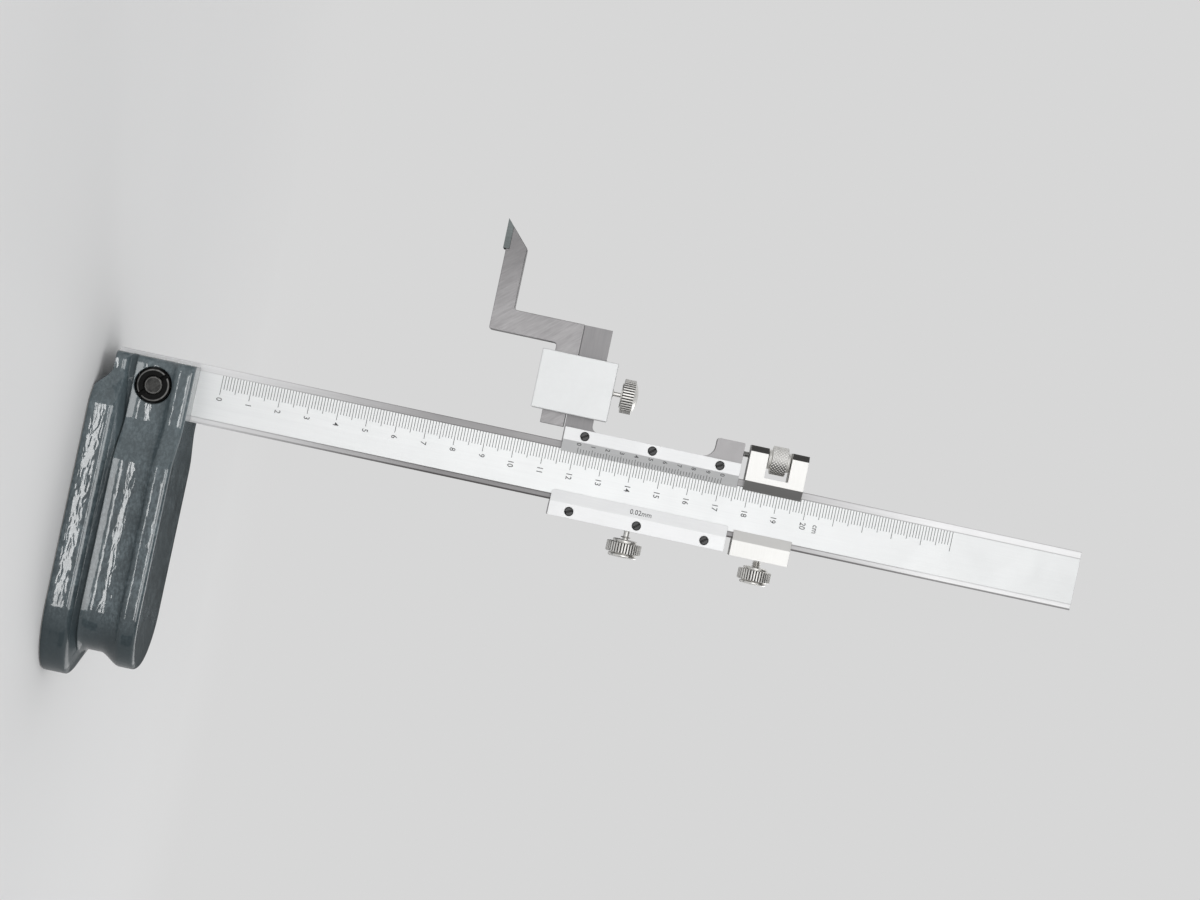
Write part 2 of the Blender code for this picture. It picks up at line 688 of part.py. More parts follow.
def build_vernier_plate(look):
    lip = PLATE_SEAT - BEVEL_LIP
    section = (
        (SLIDER_LEFT, PLATE_SEAT),
        (SLIDER_LEFT, PLATE_FRONT),
        (VERNIER_FLAT, PLATE_FRONT),
        (VERNIER_EDGE, lip),
        (VERNIER_EDGE, PLATE_SEAT),
    )
    plate = bevelled_plate("vernier_plate", section, SLIDER_BOTTOM + PLATE_REVEAL, look)
    for x, height in plate_screw_places()[:3]:
        cut_screw_seat(plate, x, height)
    return plate


def build_guide_plate(look):
    lip = PLATE_SEAT - BEVEL_LIP
    section = (
        (GUIDE_EDGE, PLATE_SEAT),
        (GUIDE_EDGE, lip),
        (GUIDE_FLAT, PLATE_FRONT),
        (SLIDER_RIGHT, PLATE_FRONT),
        (SLIDER_RIGHT, PLATE_SEAT),
    )
    bottom = SLIDER_BOTTOM + PLATE_REVEAL
    plate = bevelled_plate("guide_plate", section, bottom, look)
    corner = [(along(GUIDE_EDGE) - CUT_MARGIN, bottom - CUT_MARGIN)]
    corner.append((along(GUIDE_EDGE) + GUIDE_CORNER, bottom - CUT_MARGIN))
    centre = (along(GUIDE_EDGE) + GUIDE_CORNER, bottom + GUIDE_CORNER)
    corner += arc(centre, GUIDE_CORNER, 270, 180, 6)
    corner.append((along(GUIDE_EDGE) - CUT_MARGIN, bottom + GUIDE_CORNER))
    front, back = PLATE_FRONT - CUT_MARGIN, PLATE_SEAT + CUT_MARGIN
    tool = outline_mesh("cut_guide_corner", corner, front, back)
    cut(plate, add_cutter("cut_guide_corner", tool))
    for x, height in plate_screw_places()[3:]:
        cut_screw_seat(plate, x, height)
    return plate


def build_plate_screws(look):
    """Six slotted countersunk screws that share one profile."""
    names = ["vernier_screw_1", "vernier_screw_2", "vernier_screw_3"]
    names += ["guide_screw_1", "guide_screw_2", "guide_screw_3"]
    reach, r, s = PLATE_SCREW_REACH, PLATE_SCREW_RADIUS, PLATE_SCREW_SHANK
    top = reach - PLATE_SCREW_SINK
    profile = [
        (0.0, top),
        (r - 0.15 * MM, top),
        (r, top - 0.15 * MM),
        (r, reach - PLATE_SCREW_RIM),
        (s, reach - PLATE_SCREW_NECK),
        (s, 0.0),
        (0.0, 0.0),
    ]
    for name, place, turn in zip(names, plate_screw_places(), PLATE_SCREW_TURNS):
        x, height = place
        origin = (x, PLATE_FRONT + reach, height)
        screw = turned(name, profile, look, origin, (0, -1, 0), SCREW_SIDES)
        half = PLATE_SCREW_SLOT / 2
        low = (-CUT_MARGIN, -CUT_MARGIN, -half)
        groove = block_mesh("cut_screw_slot", low, (CUT_MARGIN, PLATE_SCREW_SLOT_DEPTH, half))
        tool = add_cutter("cut_screw_slot", groove, (x, PLATE_FRONT, height))
        tool.rotation_euler = (0.0, -math.radians(turn), 0.0)
        cut(screw, tool)


def build_gib(name, bottom, top, look):
    """The loose strip that a clamp screw presses on the beam's edge."""
    low = (along(GIB_LEFT), BEAM_FRONT + LAND_STEP, bottom + GIB_END_GAP)
    high = (along(GIB_RIGHT), BEAM_BACK, top - GIB_END_GAP)
    gib = add_part(name, block_mesh(name, low, high), look)
    bevel(gib, 0.2 * MM)
    return gib


def clamp_head(neck, collar, knurl, cap):
    """Stations of a knurled head: collar, knurl and cap are (length, radius); share 1 is cut."""
    n, c = CLAMP_NECK, KNURL_CHAMFER
    start = neck + collar[0]
    end = start + knurl[0]
    top = end + cap[0]
    return [
        (0.1 * MM, CLAMP_SHANK, 0),
        (0.4 * MM, n, 0),
        (neck, n, 0),
        (neck, collar[1] - c, 0),
        (start, collar[1], 0),
        (start, knurl[1] - c, 1),
        (start + c, knurl[1], 1),
        (end - c, knurl[1], 1),
        (end, knurl[1] - c, 1),
        (end + c, cap[1], 0),
        (top - c, cap[1], 0),
        (top, cap[1] - c, 0),
    ]


def build_clamp_screw(name, shank, head, seat, axis, look):
    """A thumbscrew whose head has straight knurling, made ring by ring."""
    rings = []
    count = KNURL_TEETH * 2
    for distance, radius, share in [(-shank, CLAMP_SHANK, 0)] + head:
        ring = []
        for i in range(count):
            angle = 2 * math.pi * i / count
            r = radius - KNURL_DEPTH * share * (i % 2)
            ring.append((r * math.cos(angle), r * math.sin(angle), distance))
        rings.append(ring)
    mesh = loft_mesh(name, rings)
    smooth(mesh, 28.0)
    screw = add_part(name, mesh, look, seat)
    screw.rotation_mode = "QUATERNION"
    screw.rotation_quaternion = Vector((0, 0, 1)).rotation_difference(Vector(axis))
    return screw


def build_side_clamp(name, face, height, head, look):
    """A clamp screw that stands out of the right side and ends just short of the gib."""
    shank = face - GIB_RIGHT - CLAMP_END_GAP
    build_clamp_screw(name, shank, head, (along(face), 0.0, height), (1, 0, 0), look)


def build_carriage(look):
    """The block is one cross-section seen from above, with a window for the nut."""
    lip = PLATE_SEAT - BEVEL_LIP
    c = CARRIAGE_CHAMFER
    section = (
        (CARRIAGE_LEFT, FRAME_BACK - 0.4 * MM),
        (CARRIAGE_LEFT, PLATE_FRONT + c),
        (CARRIAGE_LEFT + c, PLATE_FRONT),
        (0.0, PLATE_FRONT),
        (LIP_RUN, lip),
        (LIP_RUN, PLATE_SEAT),
        (CHANNEL_LEFT, PLATE_SEAT),
        (CHANNEL_LEFT, CHANNEL_BACK),
        (CHANNEL_RIGHT, CHANNEL_BACK),
        (CHANNEL_RIGHT, PLATE_SEAT),
        (LIP_RIGHT_EDGE, PLATE_SEAT),
        (LIP_RIGHT_EDGE, lip),
        (LIP_RIGHT_START, PLATE_FRONT),
        (CARRIAGE_RIGHT, PLATE_FRONT),
        (CARRIAGE_RIGHT, FRAME_BACK),
        (CARRIAGE_LEFT + 0.4 * MM, FRAME_BACK),
    )
    rings = []
    for height in (CARRIAGE_BOTTOM, CARRIAGE_TOP):
        rings.append([(along(x), y, height) for x, y in section])
    block = add_part("fine_adjust_block", loft_mesh("fine_adjust_block", rings), look)
    window = block_mesh(
        "cut_nut_window",
        (along(CARRIAGE_LEFT) - CUT_MARGIN, PLATE_FRONT - CUT_MARGIN, WINDOW_BOTTOM),
        (along(WINDOW_RIGHT), FRAME_BACK + CUT_MARGIN, WINDOW_TOP),
    )
    cut(block, add_cutter("cut_nut_window", window))
    low, high = CARRIAGE_BOTTOM - CUT_MARGIN, CARRIAGE_TOP + CUT_MARGIN
    bore = rod_mesh("cut_rod_bore", ROD_RADIUS + RUN_GAP, low, high, (0, 0, 1), 20)
    cut(block, add_cutter("cut_rod_bore", bore, (along(ROD_ALONG), ROD_DEPTH, 0.0)))
    cut_side_hole(block, "cut_carriage_clamp_hole", CARRIAGE_RIGHT, CARRIAGE_CLAMP_HEIGHT)
    return block


def build_rod(look):
    """Threaded rod from the slider's lug through the nut."""
    bottom = LUG_BOTTOM + RUN_GAP
    length = ROD_TOP - bottom
    r = ROD_RADIUS
    profile = [
        (0.0, length),
        (r - 0.3 * MM, length),
        (r, length - 0.3 * MM),
        (r, 0.2 * MM),
        (r - 0.2 * MM, 0.0),
        (0.0, 0.0),
    ]
    origin = (along(ROD_ALONG), ROD_DEPTH, bottom)
    return turned("fine_adjust_rod", profile, look, origin, (0, 0, 1), 16)


def build_fine_nut(look):
    """Diamond-knurled nut between two plain hubs, bored for the rod."""
    count = FINE_NUT_TEETH * 2
    half, hub, knurl = FINE_NUT_HEIGHT / 2, FINE_NUT_HUB, FINE_NUT_KNURL / 2
    stations = [(-half, hub - 0.3 * MM, 0), (-half + 0.3 * MM, hub, 0), (-knurl - 0.1 * MM, hub, 0)]
    stations.append((-knurl, FINE_NUT_RADIUS - 0.5 * MM, 0))
    for row in range(FINE_NUT_ROWS + 1):
        height = -knurl + 0.3 * MM + (2 * knurl - 0.6 * MM) * row / FINE_NUT_ROWS
        stations.append((height, FINE_NUT_RADIUS, 1 + row % 2))
    stations.append((knurl, FINE_NUT_RADIUS - 0.5 * MM, 0))
    stations += [(knurl + 0.1 * MM, hub, 0), (half - 0.3 * MM, hub, 0), (half, hub - 0.3 * MM, 0)]
    rings = []
    for height, radius, phase in stations:
        ring = []
        for i in range(count):
            angle = 2 * math.pi * i / count
            r = radius
            if phase and (i + phase) % 2:
                r -= 0.28 * MM
            ring.append((r * math.cos(angle), r * math.sin(angle), height))
        rings.append(ring)
    mesh = loft_mesh("fine_adjust_nut", rings)
    smooth(mesh, 20.0)
    centre = (WINDOW_BOTTOM + WINDOW_TOP) / 2
    origin = (along(ROD_ALONG), ROD_DEPTH, centre)
    nut = add_part("fine_adjust_nut", mesh, look, origin)
    reach = half + CUT_MARGIN
    bore = rod_mesh("cut_nut_bore", ROD_RADIUS + BORE_GAP, -reach, reach, (0, 0, 1), 20)
    cut(nut, add_cutter("cut_nut_bore", bore, origin))
    return nut


def build_clamp_box(look):
    """A square sleeve around jaw and scriber."""
    low = (along(BOX_LEFT), FRAME_FRONT - RUN_GAP - BOX_WALL, BOX_BOTTOM)
    high = (along(BOX_RIGHT), FRAME_BACK + RUN_GAP + BOX_WALL, BOX_TOP)
    box = add_part("scriber_clamp_box", block_mesh("scriber_clamp_box", low, high), look)
    bevel(box, BOX_EDGE, 2)
    opening = block_mesh(
        "cut_box_opening",
        (along(BOX_LEFT) - CUT_MARGIN, FRAME_FRONT - RUN_GAP, BOX_FLOOR),
        (along(BOX_RIGHT) + CUT_MARGIN, FRAME_BACK + RUN_GAP, BOX_CEILING),
    )
    cut(box, add_cutter("cut_box_opening", opening))
    low, high = BOX_CEILING - CUT_MARGIN, BOX_TOP + CUT_MARGIN
    hole = rod_mesh("cut_box_clamp_hole", CLAMP_SHANK + BORE_GAP, low, high, (0, 0, 1), 24)
    cut(box, add_cutter("cut_box_clamp_hole", hole, (along(BOX_CLAMP_ALONG), BOX_DEPTH, 0.0)))
    return box


def scriber_outline():
    """The scriber seen from the front: shank, arm, foot and slanted toe."""
    right, left, arm = along(SCRIBER_RIGHT), along(ARM_LEFT), along(ARM_RIGHT)
    f = SCRIBER_FILLET
    under = SHANK_BOTTOM
    tip_top = EDGE_HEIGHT + TIP_THICK
    toe = along(TOE_END)
    slope = (FOOT_TOP - EDGE_HEIGHT) / (along(TOE_START) - toe)
    points = [(right, under), (right, SCRIBER_TOP), (left, SCRIBER_TOP)]
    points += arc((left - f, FOOT_TOP + f), f, 0, -90, 3)
    points.append((along(TOE_START), FOOT_TOP))
    points.append((toe + (tip_top + SEAT_GAP - EDGE_HEIGHT) / slope, tip_top + SEAT_GAP))
    points.append((along(TIP_START) + SEAT_GAP, tip_top + SEAT_GAP))
    points.append((along(TIP_START) + SEAT_GAP, FOOT_BOTTOM))
    points += arc((arm - 0.6 * MM, FOOT_BOTTOM + 0.6 * MM), 0.6 * MM, -90, 0, 2)
    points += arc((arm + f, under - f), f, 180, 90, 3)
    return points


def build_scriber(look):
    front, back = FRAME_FRONT + 0.1 * MM, FRAME_BACK - 0.1 * MM
    mesh = outline_mesh("scriber_body", scriber_outline(), front, back)
    scriber = add_part("scriber_body", mesh, look)
    bevel(scriber, 0.15 * MM)
    return scriber


def build_scriber_tip(look):
    """The hard edge plate brazed under the toe."""
    toe, tip_top = along(TOE_END), EDGE_HEIGHT + TIP_THICK
    slope = (FOOT_TOP - EDGE_HEIGHT) / (along(TOE_START) - toe)
    points = [
        (toe, EDGE_HEIGHT),
        (along(TIP_START), EDGE_HEIGHT),
        (along(TIP_START), tip_top - TIP_RELIEF),
        (along(TIP_START) - TIP_RELIEF, tip_top),
        (toe + TIP_THICK / slope, tip_top),
        (toe, EDGE_HEIGHT + 0.05 * MM),
    ]
    front, back = FRAME_FRONT + 0.2 * MM, FRAME_BACK - 0.2 * MM
    return add_part("scriber_tip", outline_mesh("scriber_tip", points, front, back), look)


def main():
    global parts, cutters
    clear_scene()
    parts = new_collection("height_gauge")
    cutters = new_collection("cutters")
    paint = material("hammered_paint", (0.085, 0.12, 0.142), 0.38, 0.25)
    satin = material("satin_steel", (0.80, 0.81, 0.81), 0.42, 0.9)
    ground = material("ground_steel", (0.42, 0.41, 0.41), 0.4, 0.95)
    plate = material("plate_chrome", (0.84, 0.85, 0.85), 0.36, 0.9)
    black = material("black_oxide", (0.014, 0.014, 0.015), 0.35, 0.6)
    nickel = material("bright_nickel", (0.62, 0.61, 0.58), 0.2, 1.0)
    carbide = material("carbide", (0.19, 0.205, 0.205), 0.35, 0.9)
    build_base(paint)
    build_beam(satin)
    build_stud(black)
    build_beam_nut(black)
    build_slider(ground)
    build_vernier_plate(plate)
    build_guide_plate(plate)
    build_plate_screws(black)
    build_gib("slider_gib", SLIDER_BOTTOM, SLIDER_TOP, ground)
    head = clamp_head(*SLIDER_KNOB)
    build_side_clamp("slider_clamp_screw", SLIDER_RIGHT, SLIDER_CLAMP_HEIGHT, head, nickel)
    build_carriage(satin)
    build_gib("carriage_gib", CARRIAGE_BOTTOM, CARRIAGE_TOP, ground)
    head = clamp_head(*CARRIAGE_KNOB)
    build_side_clamp("carriage_clamp_screw", CARRIAGE_RIGHT, CARRIAGE_CLAMP_HEIGHT, head, nickel)
    build_rod(ground)
    build_fine_nut(nickel)
    build_clamp_box(plate)
    seat = (along(BOX_CLAMP_ALONG), BOX_DEPTH, BOX_TOP)
    shank = BOX_TOP - JAW_TOP - CLAMP_END_GAP
    build_clamp_screw("box_clamp_screw", shank, clamp_head(*BOX_KNOB), seat, (0, 0, 1), nickel)
    build_scriber(ground)
    build_scriber_tip(carbide)
    bpy.context.view_layer.update()


main()
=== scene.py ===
from math import cos, degrees, pi, radians, sin

import bmesh
import bpy
from mathutils import Matrix, Vector


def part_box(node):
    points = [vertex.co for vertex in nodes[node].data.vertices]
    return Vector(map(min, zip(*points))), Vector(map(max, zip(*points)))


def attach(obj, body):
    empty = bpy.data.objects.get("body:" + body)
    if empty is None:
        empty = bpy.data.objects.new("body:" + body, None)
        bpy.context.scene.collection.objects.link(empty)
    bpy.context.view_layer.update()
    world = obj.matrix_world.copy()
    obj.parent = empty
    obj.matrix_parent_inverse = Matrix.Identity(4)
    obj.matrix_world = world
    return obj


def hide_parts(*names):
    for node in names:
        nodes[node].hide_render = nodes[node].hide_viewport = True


mm = 0.001

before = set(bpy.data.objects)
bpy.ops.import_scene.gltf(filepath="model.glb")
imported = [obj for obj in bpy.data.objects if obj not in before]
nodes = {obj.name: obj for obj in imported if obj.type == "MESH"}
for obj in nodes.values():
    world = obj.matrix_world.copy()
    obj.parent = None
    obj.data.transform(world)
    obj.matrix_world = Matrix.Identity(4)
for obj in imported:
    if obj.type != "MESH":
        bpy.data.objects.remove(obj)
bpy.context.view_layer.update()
beamLow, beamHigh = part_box("beam")
plateLow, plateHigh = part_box("vernier_plate")
guideLow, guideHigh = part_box("guide_plate")
print("frame loaded:", len(nodes), "pieces")

scene = bpy.context.scene
scene.view_settings.view_transform = "Standard"


def inMm(**sizes):
    # sizes written in millimetres, as metres
    return {name: scaled(size) for name, size in sizes.items()}


def scaled(size):
    return tuple(scaled(part) for part in size) if isinstance(size, tuple) else size * mm


def between(low, high, share):
    return low + (high - low) * share


# small helpers for shader nodes; a socket's id_data is the tree that it is in

def addNode(tree, kind, values=None, **settings):
    made = tree.nodes.new(kind)
    for key, value in settings.items():
        setattr(made, key, value)
    for key, value in (values or {}).items():
        made.inputs[key].default_value = value
    return made


def isSocket(value):
    return isinstance(value, bpy.types.NodeSocket)


def wire(start, end):
    end.id_data.links.new(start, end)


def feed(socket, value):
    # a socket takes a link, a number or a colour
    if isSocket(value):
        wire(value, socket)
    elif isinstance(value, (int, float)):
        socket.default_value = value
    else:
        socket.default_value = (*value, 1.0)


def newGroup(name, inputs, outputs):
    # inputs are (name, socket type, start value), outputs are (name, socket type)
    tree = bpy.data.node_groups.new(name, "ShaderNodeTree")
    for label, kind, value in inputs:
        socket = tree.interface.new_socket(name=label, in_out="INPUT", socket_type=kind)
        if value is not None:
            socket.default_value = value
    for label, kind in outputs:
        tree.interface.new_socket(name=label, in_out="OUTPUT", socket_type=kind)
    entry = addNode(tree, "NodeGroupInput")
    leave = addNode(tree, "NodeGroupOutput")
    return tree, entry.outputs, leave.inputs


def placeGroup(tree, group, vector=None, **values):
    made = addNode(tree, "ShaderNodeGroup", values, node_tree=group)
    if vector is not None:
        wire(vector, made.inputs["Vector"])
    return made.outputs


def mixColour(factor, first, second):
    mix = addNode(factor.id_data, "ShaderNodeMix", data_type="RGBA")
    for place, value in ((0, factor), (6, first), (7, second)):
        feed(mix.inputs[place], value)
    return mix.outputs[2]


def mathNode(operation, *values):
    tree = next(value.id_data for value in values if isSocket(value))
    made = addNode(tree, "ShaderNodeMath", operation=operation)
    for socket, value in zip(made.inputs, values):
        feed(socket, value)
    return made.outputs[0]


def product(result, *factors):
    for factor in factors:
        result = mathNode("MULTIPLY", result, factor)
    return result


def spreadOf(value, low, high, start=0.0, end=1.0, kind="LINEAR"):
    # maps low..high onto start..end, and holds there
    made = addNode(value.id_data, "ShaderNodeMapRange", interpolation_type=kind)
    for key, number in (("From Min", low), ("From Max", high), ("To Min", start), ("To Max", end)):
        made.inputs[key].default_value = number
    wire(value, made.inputs["Value"])
    return made.outputs["Result"]


def mapped(vector, **values):
    made = addNode(vector.id_data, "ShaderNodeMapping", values, vector_type="POINT")
    wire(vector, made.inputs["Vector"])
    return made.outputs["Vector"]


def noiseOf(vector, values):
    made = addNode(vector.id_data, "ShaderNodeTexNoise", values)
    wire(vector, made.inputs["Vector"])
    return made.outputs["Fac"]


def splitAxes(vector):
    made = addNode(vector.id_data, "ShaderNodeSeparateXYZ")
    wire(vector, made.inputs["Vector"])
    return made.outputs


def bumpOf(height, strength, distance, normal=None):
    settings = {"Strength": strength, "Distance": distance}
    made = addNode(height.id_data, "ShaderNodeBump", settings)
    wire(height, made.inputs["Height"])
    if normal is not None:
        wire(normal, made.inputs["Normal"])
    return made.outputs["Normal"]


# surface effects that several finishes share

grainLook = dict(
    lines={"Scale": 1.0, "Detail": 5.0, "Roughness": 0.62}, linesShare=0.6,
    broad={"Scale": 0.23, "Detail": 3.0, "Roughness": 0.5}, broadShare=0.4, toneRange=(0.3, 0.7),
)


def makeBrushGrain():
    # fine drawn lines: Stretch is small along the brushing and large across it
    tree, entry, leave = newGroup(
        "brushGrain",
        [("Vector", "NodeSocketVector", None), ("Stretch", "NodeSocketVector", (900, 900, 30))],
        [("Height", "NodeSocketFloat"), ("Tone", "NodeSocketFloat")],
    )
    drawn = addNode(tree, "ShaderNodeMapping", vector_type="POINT")
    wire(entry["Vector"], drawn.inputs["Vector"])
    wire(entry["Stretch"], drawn.inputs["Scale"])
    fine = noiseOf(drawn.outputs["Vector"], grainLook["lines"])
    broad = noiseOf(drawn.outputs["Vector"], grainLook["broad"])
    wire(fine, leave["Height"])
    both = mathNode("MULTIPLY_ADD", broad, grainLook["broadShare"],
                    product(fine, grainLook["linesShare"]))
    wire(spreadOf(both, *grainLook["toneRange"]), leave["Tone"])
    return tree


edgeLook = dict(samples=6, startTurn=0.995, fullTurn=0.88)


def makeSoftEdge():
    # rounds sharp edges for the light, and marks them for an edge tone: worn metal and chipped
    # paint, and on the beam a painted dark reflection
    tree, entry, leave = newGroup(
        "softEdge",
        [("Radius", "NodeSocketFloat", 0.00015)],
        [("Normal", "NodeSocketVector"), ("Edge", "NodeSocketFloat")],
    )
    bevel = addNode(tree, "ShaderNodeBevel", samples=edgeLook["samples"])
    wire(entry["Radius"], bevel.inputs["Radius"])
    geometry = addNode(tree, "ShaderNodeNewGeometry")
    dot = addNode(tree, "ShaderNodeVectorMath", operation="DOT_PRODUCT")
    wire(bevel.outputs["Normal"], dot.inputs[0])
    wire(geometry.outputs["Normal"], dot.inputs[1])
    wire(bevel.outputs["Normal"], leave["Normal"])
    edge = spreadOf(dot.outputs["Value"], edgeLook["startTurn"], edgeLook["fullTurn"])
    wire(edge, leave["Edge"])
    return tree


handlingLook = dict(
    cloud={"Detail": 4.0, "Roughness": 0.6, "Distortion": 0.8}, smudgeRange=(0.35, 0.75),
    speckScale=9.0, speckSizes=(0.12, 0.04),
)


def makeHandling():
    # smudges from fingers, and a few fine specks
    look = handlingLook
    tree, entry, leave = newGroup(
        "handling",
        [("Vector", "NodeSocketVector", None), ("Scale", "NodeSocketFloat", 60.0)],
        [("Smudge", "NodeSocketFloat"), ("Speck", "NodeSocketFloat")],
    )
    cloud = addNode(tree, "ShaderNodeTexNoise", look["cloud"])
    dots = addNode(tree, "ShaderNodeTexVoronoi")
    finer = product(entry["Scale"], look["speckScale"])
    for texture, scale in ((cloud, entry["Scale"]), (dots, finer)):
        wire(entry["Vector"], texture.inputs["Vector"])
        wire(scale, texture.inputs["Scale"])
    wire(spreadOf(cloud.outputs["Fac"], *look["smudgeRange"]), leave["Smudge"])
    wire(spreadOf(dots.outputs["Distance"], *look["speckSizes"]), leave["Speck"])
    return tree


brushGrain = makeBrushGrain()
softEdge = makeSoftEdge()
handling = makeHandling()
print("surface effects built")


# finishes

def newMaterial(name):
    made = bpy.data.materials.new(name)
    made.use_nodes = True
    shader = made.node_tree.nodes["Principled BSDF"]
    place = addNode(made.node_tree, "ShaderNodeTexCoord").outputs["Object"]
    return made, shader, place


def steelFinish(name, look):
    # one brushed or ground metal: colour, how it is brushed, and a tone along its edges: worn
    # metal, and on the beam a painted dark reflection
    made, shader, place = newMaterial(name)
    tree = made.node_tree
    lie = mapped(place, Rotation=look["turn"]) if "turn" in look else place
    grain = placeGroup(tree, brushGrain, lie, Stretch=look["stretch"])
    edge = placeGroup(tree, softEdge, Radius=look["edgeRadius"])
    touch = placeGroup(tree, handling, place, Scale=look["smudgeScale"])
    tone = mixColour(grain["Tone"], look["dark"], look["light"])
    tone = mixColour(product(touch["Smudge"], look["smudge"]), tone, look["smudgeColour"])
    tone = mixColour(product(edge["Edge"], look["edgeWearAndReflection"]), tone, look["edgeColour"])
    wire(tone, shader.inputs["Base Color"])
    # the grain and the smudges dull it in equal parts
    mixed = mathNode("MULTIPLY_ADD", touch["Smudge"], 0.5, product(grain["Tone"], 0.5))
    wire(spreadOf(mixed, 0.0, 1.0, *look["roughness"]), shader.inputs["Roughness"])
    shader.inputs["Metallic"].default_value = look["metallic"]
    shader.inputs["Specular IOR Level"].default_value = look["shine"]
    bump = bumpOf(grain["Height"], look["bump"], look["bumpDepth"], edge["Normal"])
    wire(bump, shader.inputs["Normal"])
    if "tint" in look:
        # a second tone comes in along one axis
        axis, start = look["tintAlong"]
        along = mathNode("SUBTRACT", splitAxes(place)[axis], start)
        tintOver(shader, spreadOf(along, *look["tintReach"], *look["tintShares"]), look["tint"])
    return made, shader, place


def tintOver(shader, mask, colour):
    # lays a colour over what the finish has so far
    before = shader.inputs["Base Color"].links[0].from_socket
    wire(mixColour(mask, before, colour), shader.inputs["Base Color"])


# what most of the metals share
steelBase = dict(
    metallic=0.9, shine=0.5, bump=0.2, bumpDepth=0.00002, edgeRadius=0.00014, edgeWearAndReflection=0.4,
    smudge=0.2,
)
beamLook = dict(
    steelBase, dark=(0.885, 0.895, 0.897), light=(0.96, 0.972, 0.972), stretch=(2400, 2400, 60),
    # the beam's dark edge colour is a painted dark reflection on its rolled-off edges
    roughness=(0.44, 0.52), bump=0.12, edgeRadius=0.00012, edgeWearAndReflection=0.35,
    edgeColour=(0.45, 0.45, 0.455), smudgeScale=45.0, smudge=0.08, smudgeColour=(0.76, 0.775, 0.78),
    # the shoulders' grey is partly their ground finish and partly a painted reflection, lighter at
    # the ends and dimmest between
    shoulderStart=0.25 * mm, shoulderEnd=0.75 * mm, shoulderEnds=(0.88, 0.88, 0.885),
    shoulderTop=(0.87, 0.87, 0.875), leftGreyAndReflection=(0.37, 0.362, 0.366),
    rightGreyAndReflection=(0.30, 0.292, 0.296), dimReflectionRise=(30 * mm, 114 * mm), dimReflectionFall=(205 * mm, 285 * mm),
    # the tint darkens the beam towards its top: painted shade
    tint=(0.55, 0.56, 0.565), tintAlong=("Z", 0.0), tintReach=(150 * mm, 330 * mm),
    tintShares=(0.0, 0.3), groundStretch=(1900, 1900, 45), streak=0.22, middle=10 * mm,
    # dark lines along the shoulders: painted shade at the foot of the raised land, a painted dark
    # reflection at the outer edges
    shadeLineColour=(0.085, 0.08, 0.08), lineCore=0.5, lineFootShare=0.2,
    # for each line: place across the beam and half width in mm, strength below and above
    lines=((0.05, 0.26, 0.5, 0.4), (2.42, 0.30, 0.45, 0.35), (18.05, 0.26, 0.55, 0.1),
           (19.72, 0.38, 0.95, 0.75)),
)


def makeBeamSteel():
    look = beamLook
    made, shader, place = steelFinish("beamSteel", look)
    x, y, z = splitAxes(place)
    depth = mathNode("SUBTRACT", y, beamLow.y)
    lowered = product(mathNode("GREATER_THAN", depth, look["shoulderStart"]),
                      mathNode("LESS_THAN", depth, look["shoulderEnd"]))
    # the lowered shoulders are ground along the beam and a darker grey, the right one greyer; that
    # they are lighter near the ends and greyest between is a painted reflection
    ground = placeGroup(made.node_tree, brushGrain, place, Stretch=look["groundStretch"])
    across = mathNode("SUBTRACT", x, beamLow.x)
    rise = spreadOf(z, *look["dimReflectionRise"])
    dimReflection = product(rise, spreadOf(z, *look["dimReflectionFall"], 1.0, 0.0))
    streak = mathNode("MULTIPLY_ADD", ground["Tone"], look["streak"], -look["streak"] / 2)
    aloft = spreadOf(z, *look["dimReflectionFall"])
    ends = mixColour(aloft, look["shoulderEnds"], look["shoulderTop"])
    right = mathNode("GREATER_THAN", across, look["middle"])
    sides = mixColour(right, look["leftGreyAndReflection"], look["rightGreyAndReflection"])
    grey = mixColour(mathNode("ADD", dimReflection, streak), ends, sides)
    tintOver(shader, lowered, grey)
    # painted shade in dark lines at the foot of the raised land, and a painted dark reflection
    # along the outer edges
    line = 0.0
    for spot, half, below, above in look["lines"]:
        off = mathNode("ABSOLUTE", mathNode("SUBTRACT", across, spot * mm))
        mark = product(spreadOf(off, half * look["lineCore"] * mm, half * mm, 1.0, 0.0),
                       spreadOf(z, *look["dimReflectionFall"], below, above))
        line = mathNode("MAXIMUM", line, mark)
    foot = spreadOf(rise, 0.0, 1.0, look["lineFootShare"], 1.0)
    tintOver(shader, product(line, foot, lowered), look["shadeLineColour"])
    return made


# the frame is painted dark round the jaw, a painted darker reflection, and lighter up at the lug
frameLook = dict(
    steelBase, dark=(0.26, 0.255, 0.26), light=(0.33, 0.322, 0.326), metallic=0.92,
    stretch=(120, 2200, 2200), roughness=(0.38, 0.5), bumpDepth=0.00003, edgeRadius=0.00015,
    edgeWearAndReflection=0.6, edgeColour=(0.62, 0.61, 0.615), smudgeScale=70.0, smudge=0.15,
    smudgeColour=(0.29, 0.285, 0.29), tint=(0.44, 0.43, 0.435), tintAlong=("Z", 0.0),
    tintReach=(165 * mm, 190 * mm), tintShares=(0.0, 0.8),
)
plateLook = dict(
    steelBase, dark=(0.80, 0.805, 0.81), light=(0.85, 0.855, 0.86), stretch=(1700, 1700, 120),
    roughness=(0.42, 0.5), bump=0.08, edgeColour=(0.95, 0.95, 0.95), smudgeScale=60.0, smudge=0.10,
    smudgeColour=(0.79, 0.80, 0.805),
)
guideLook = dict(plateLook, dark=(0.845, 0.85, 0.855), light=(0.90, 0.905, 0.91))
boxLook = dict(
    steelBase, dark=(0.81, 0.82, 0.822), light=(0.85, 0.862, 0.864), stretch=(420, 420, 420),
    roughness=(0.46, 0.54), bump=0.05, edgeRadius=0.00022, edgeWearAndReflection=0.5,
    edgeColour=(0.96, 0.96, 0.96), smudgeScale=40.0, smudge=0.10, smudgeColour=(0.75, 0.765, 0.77),
)
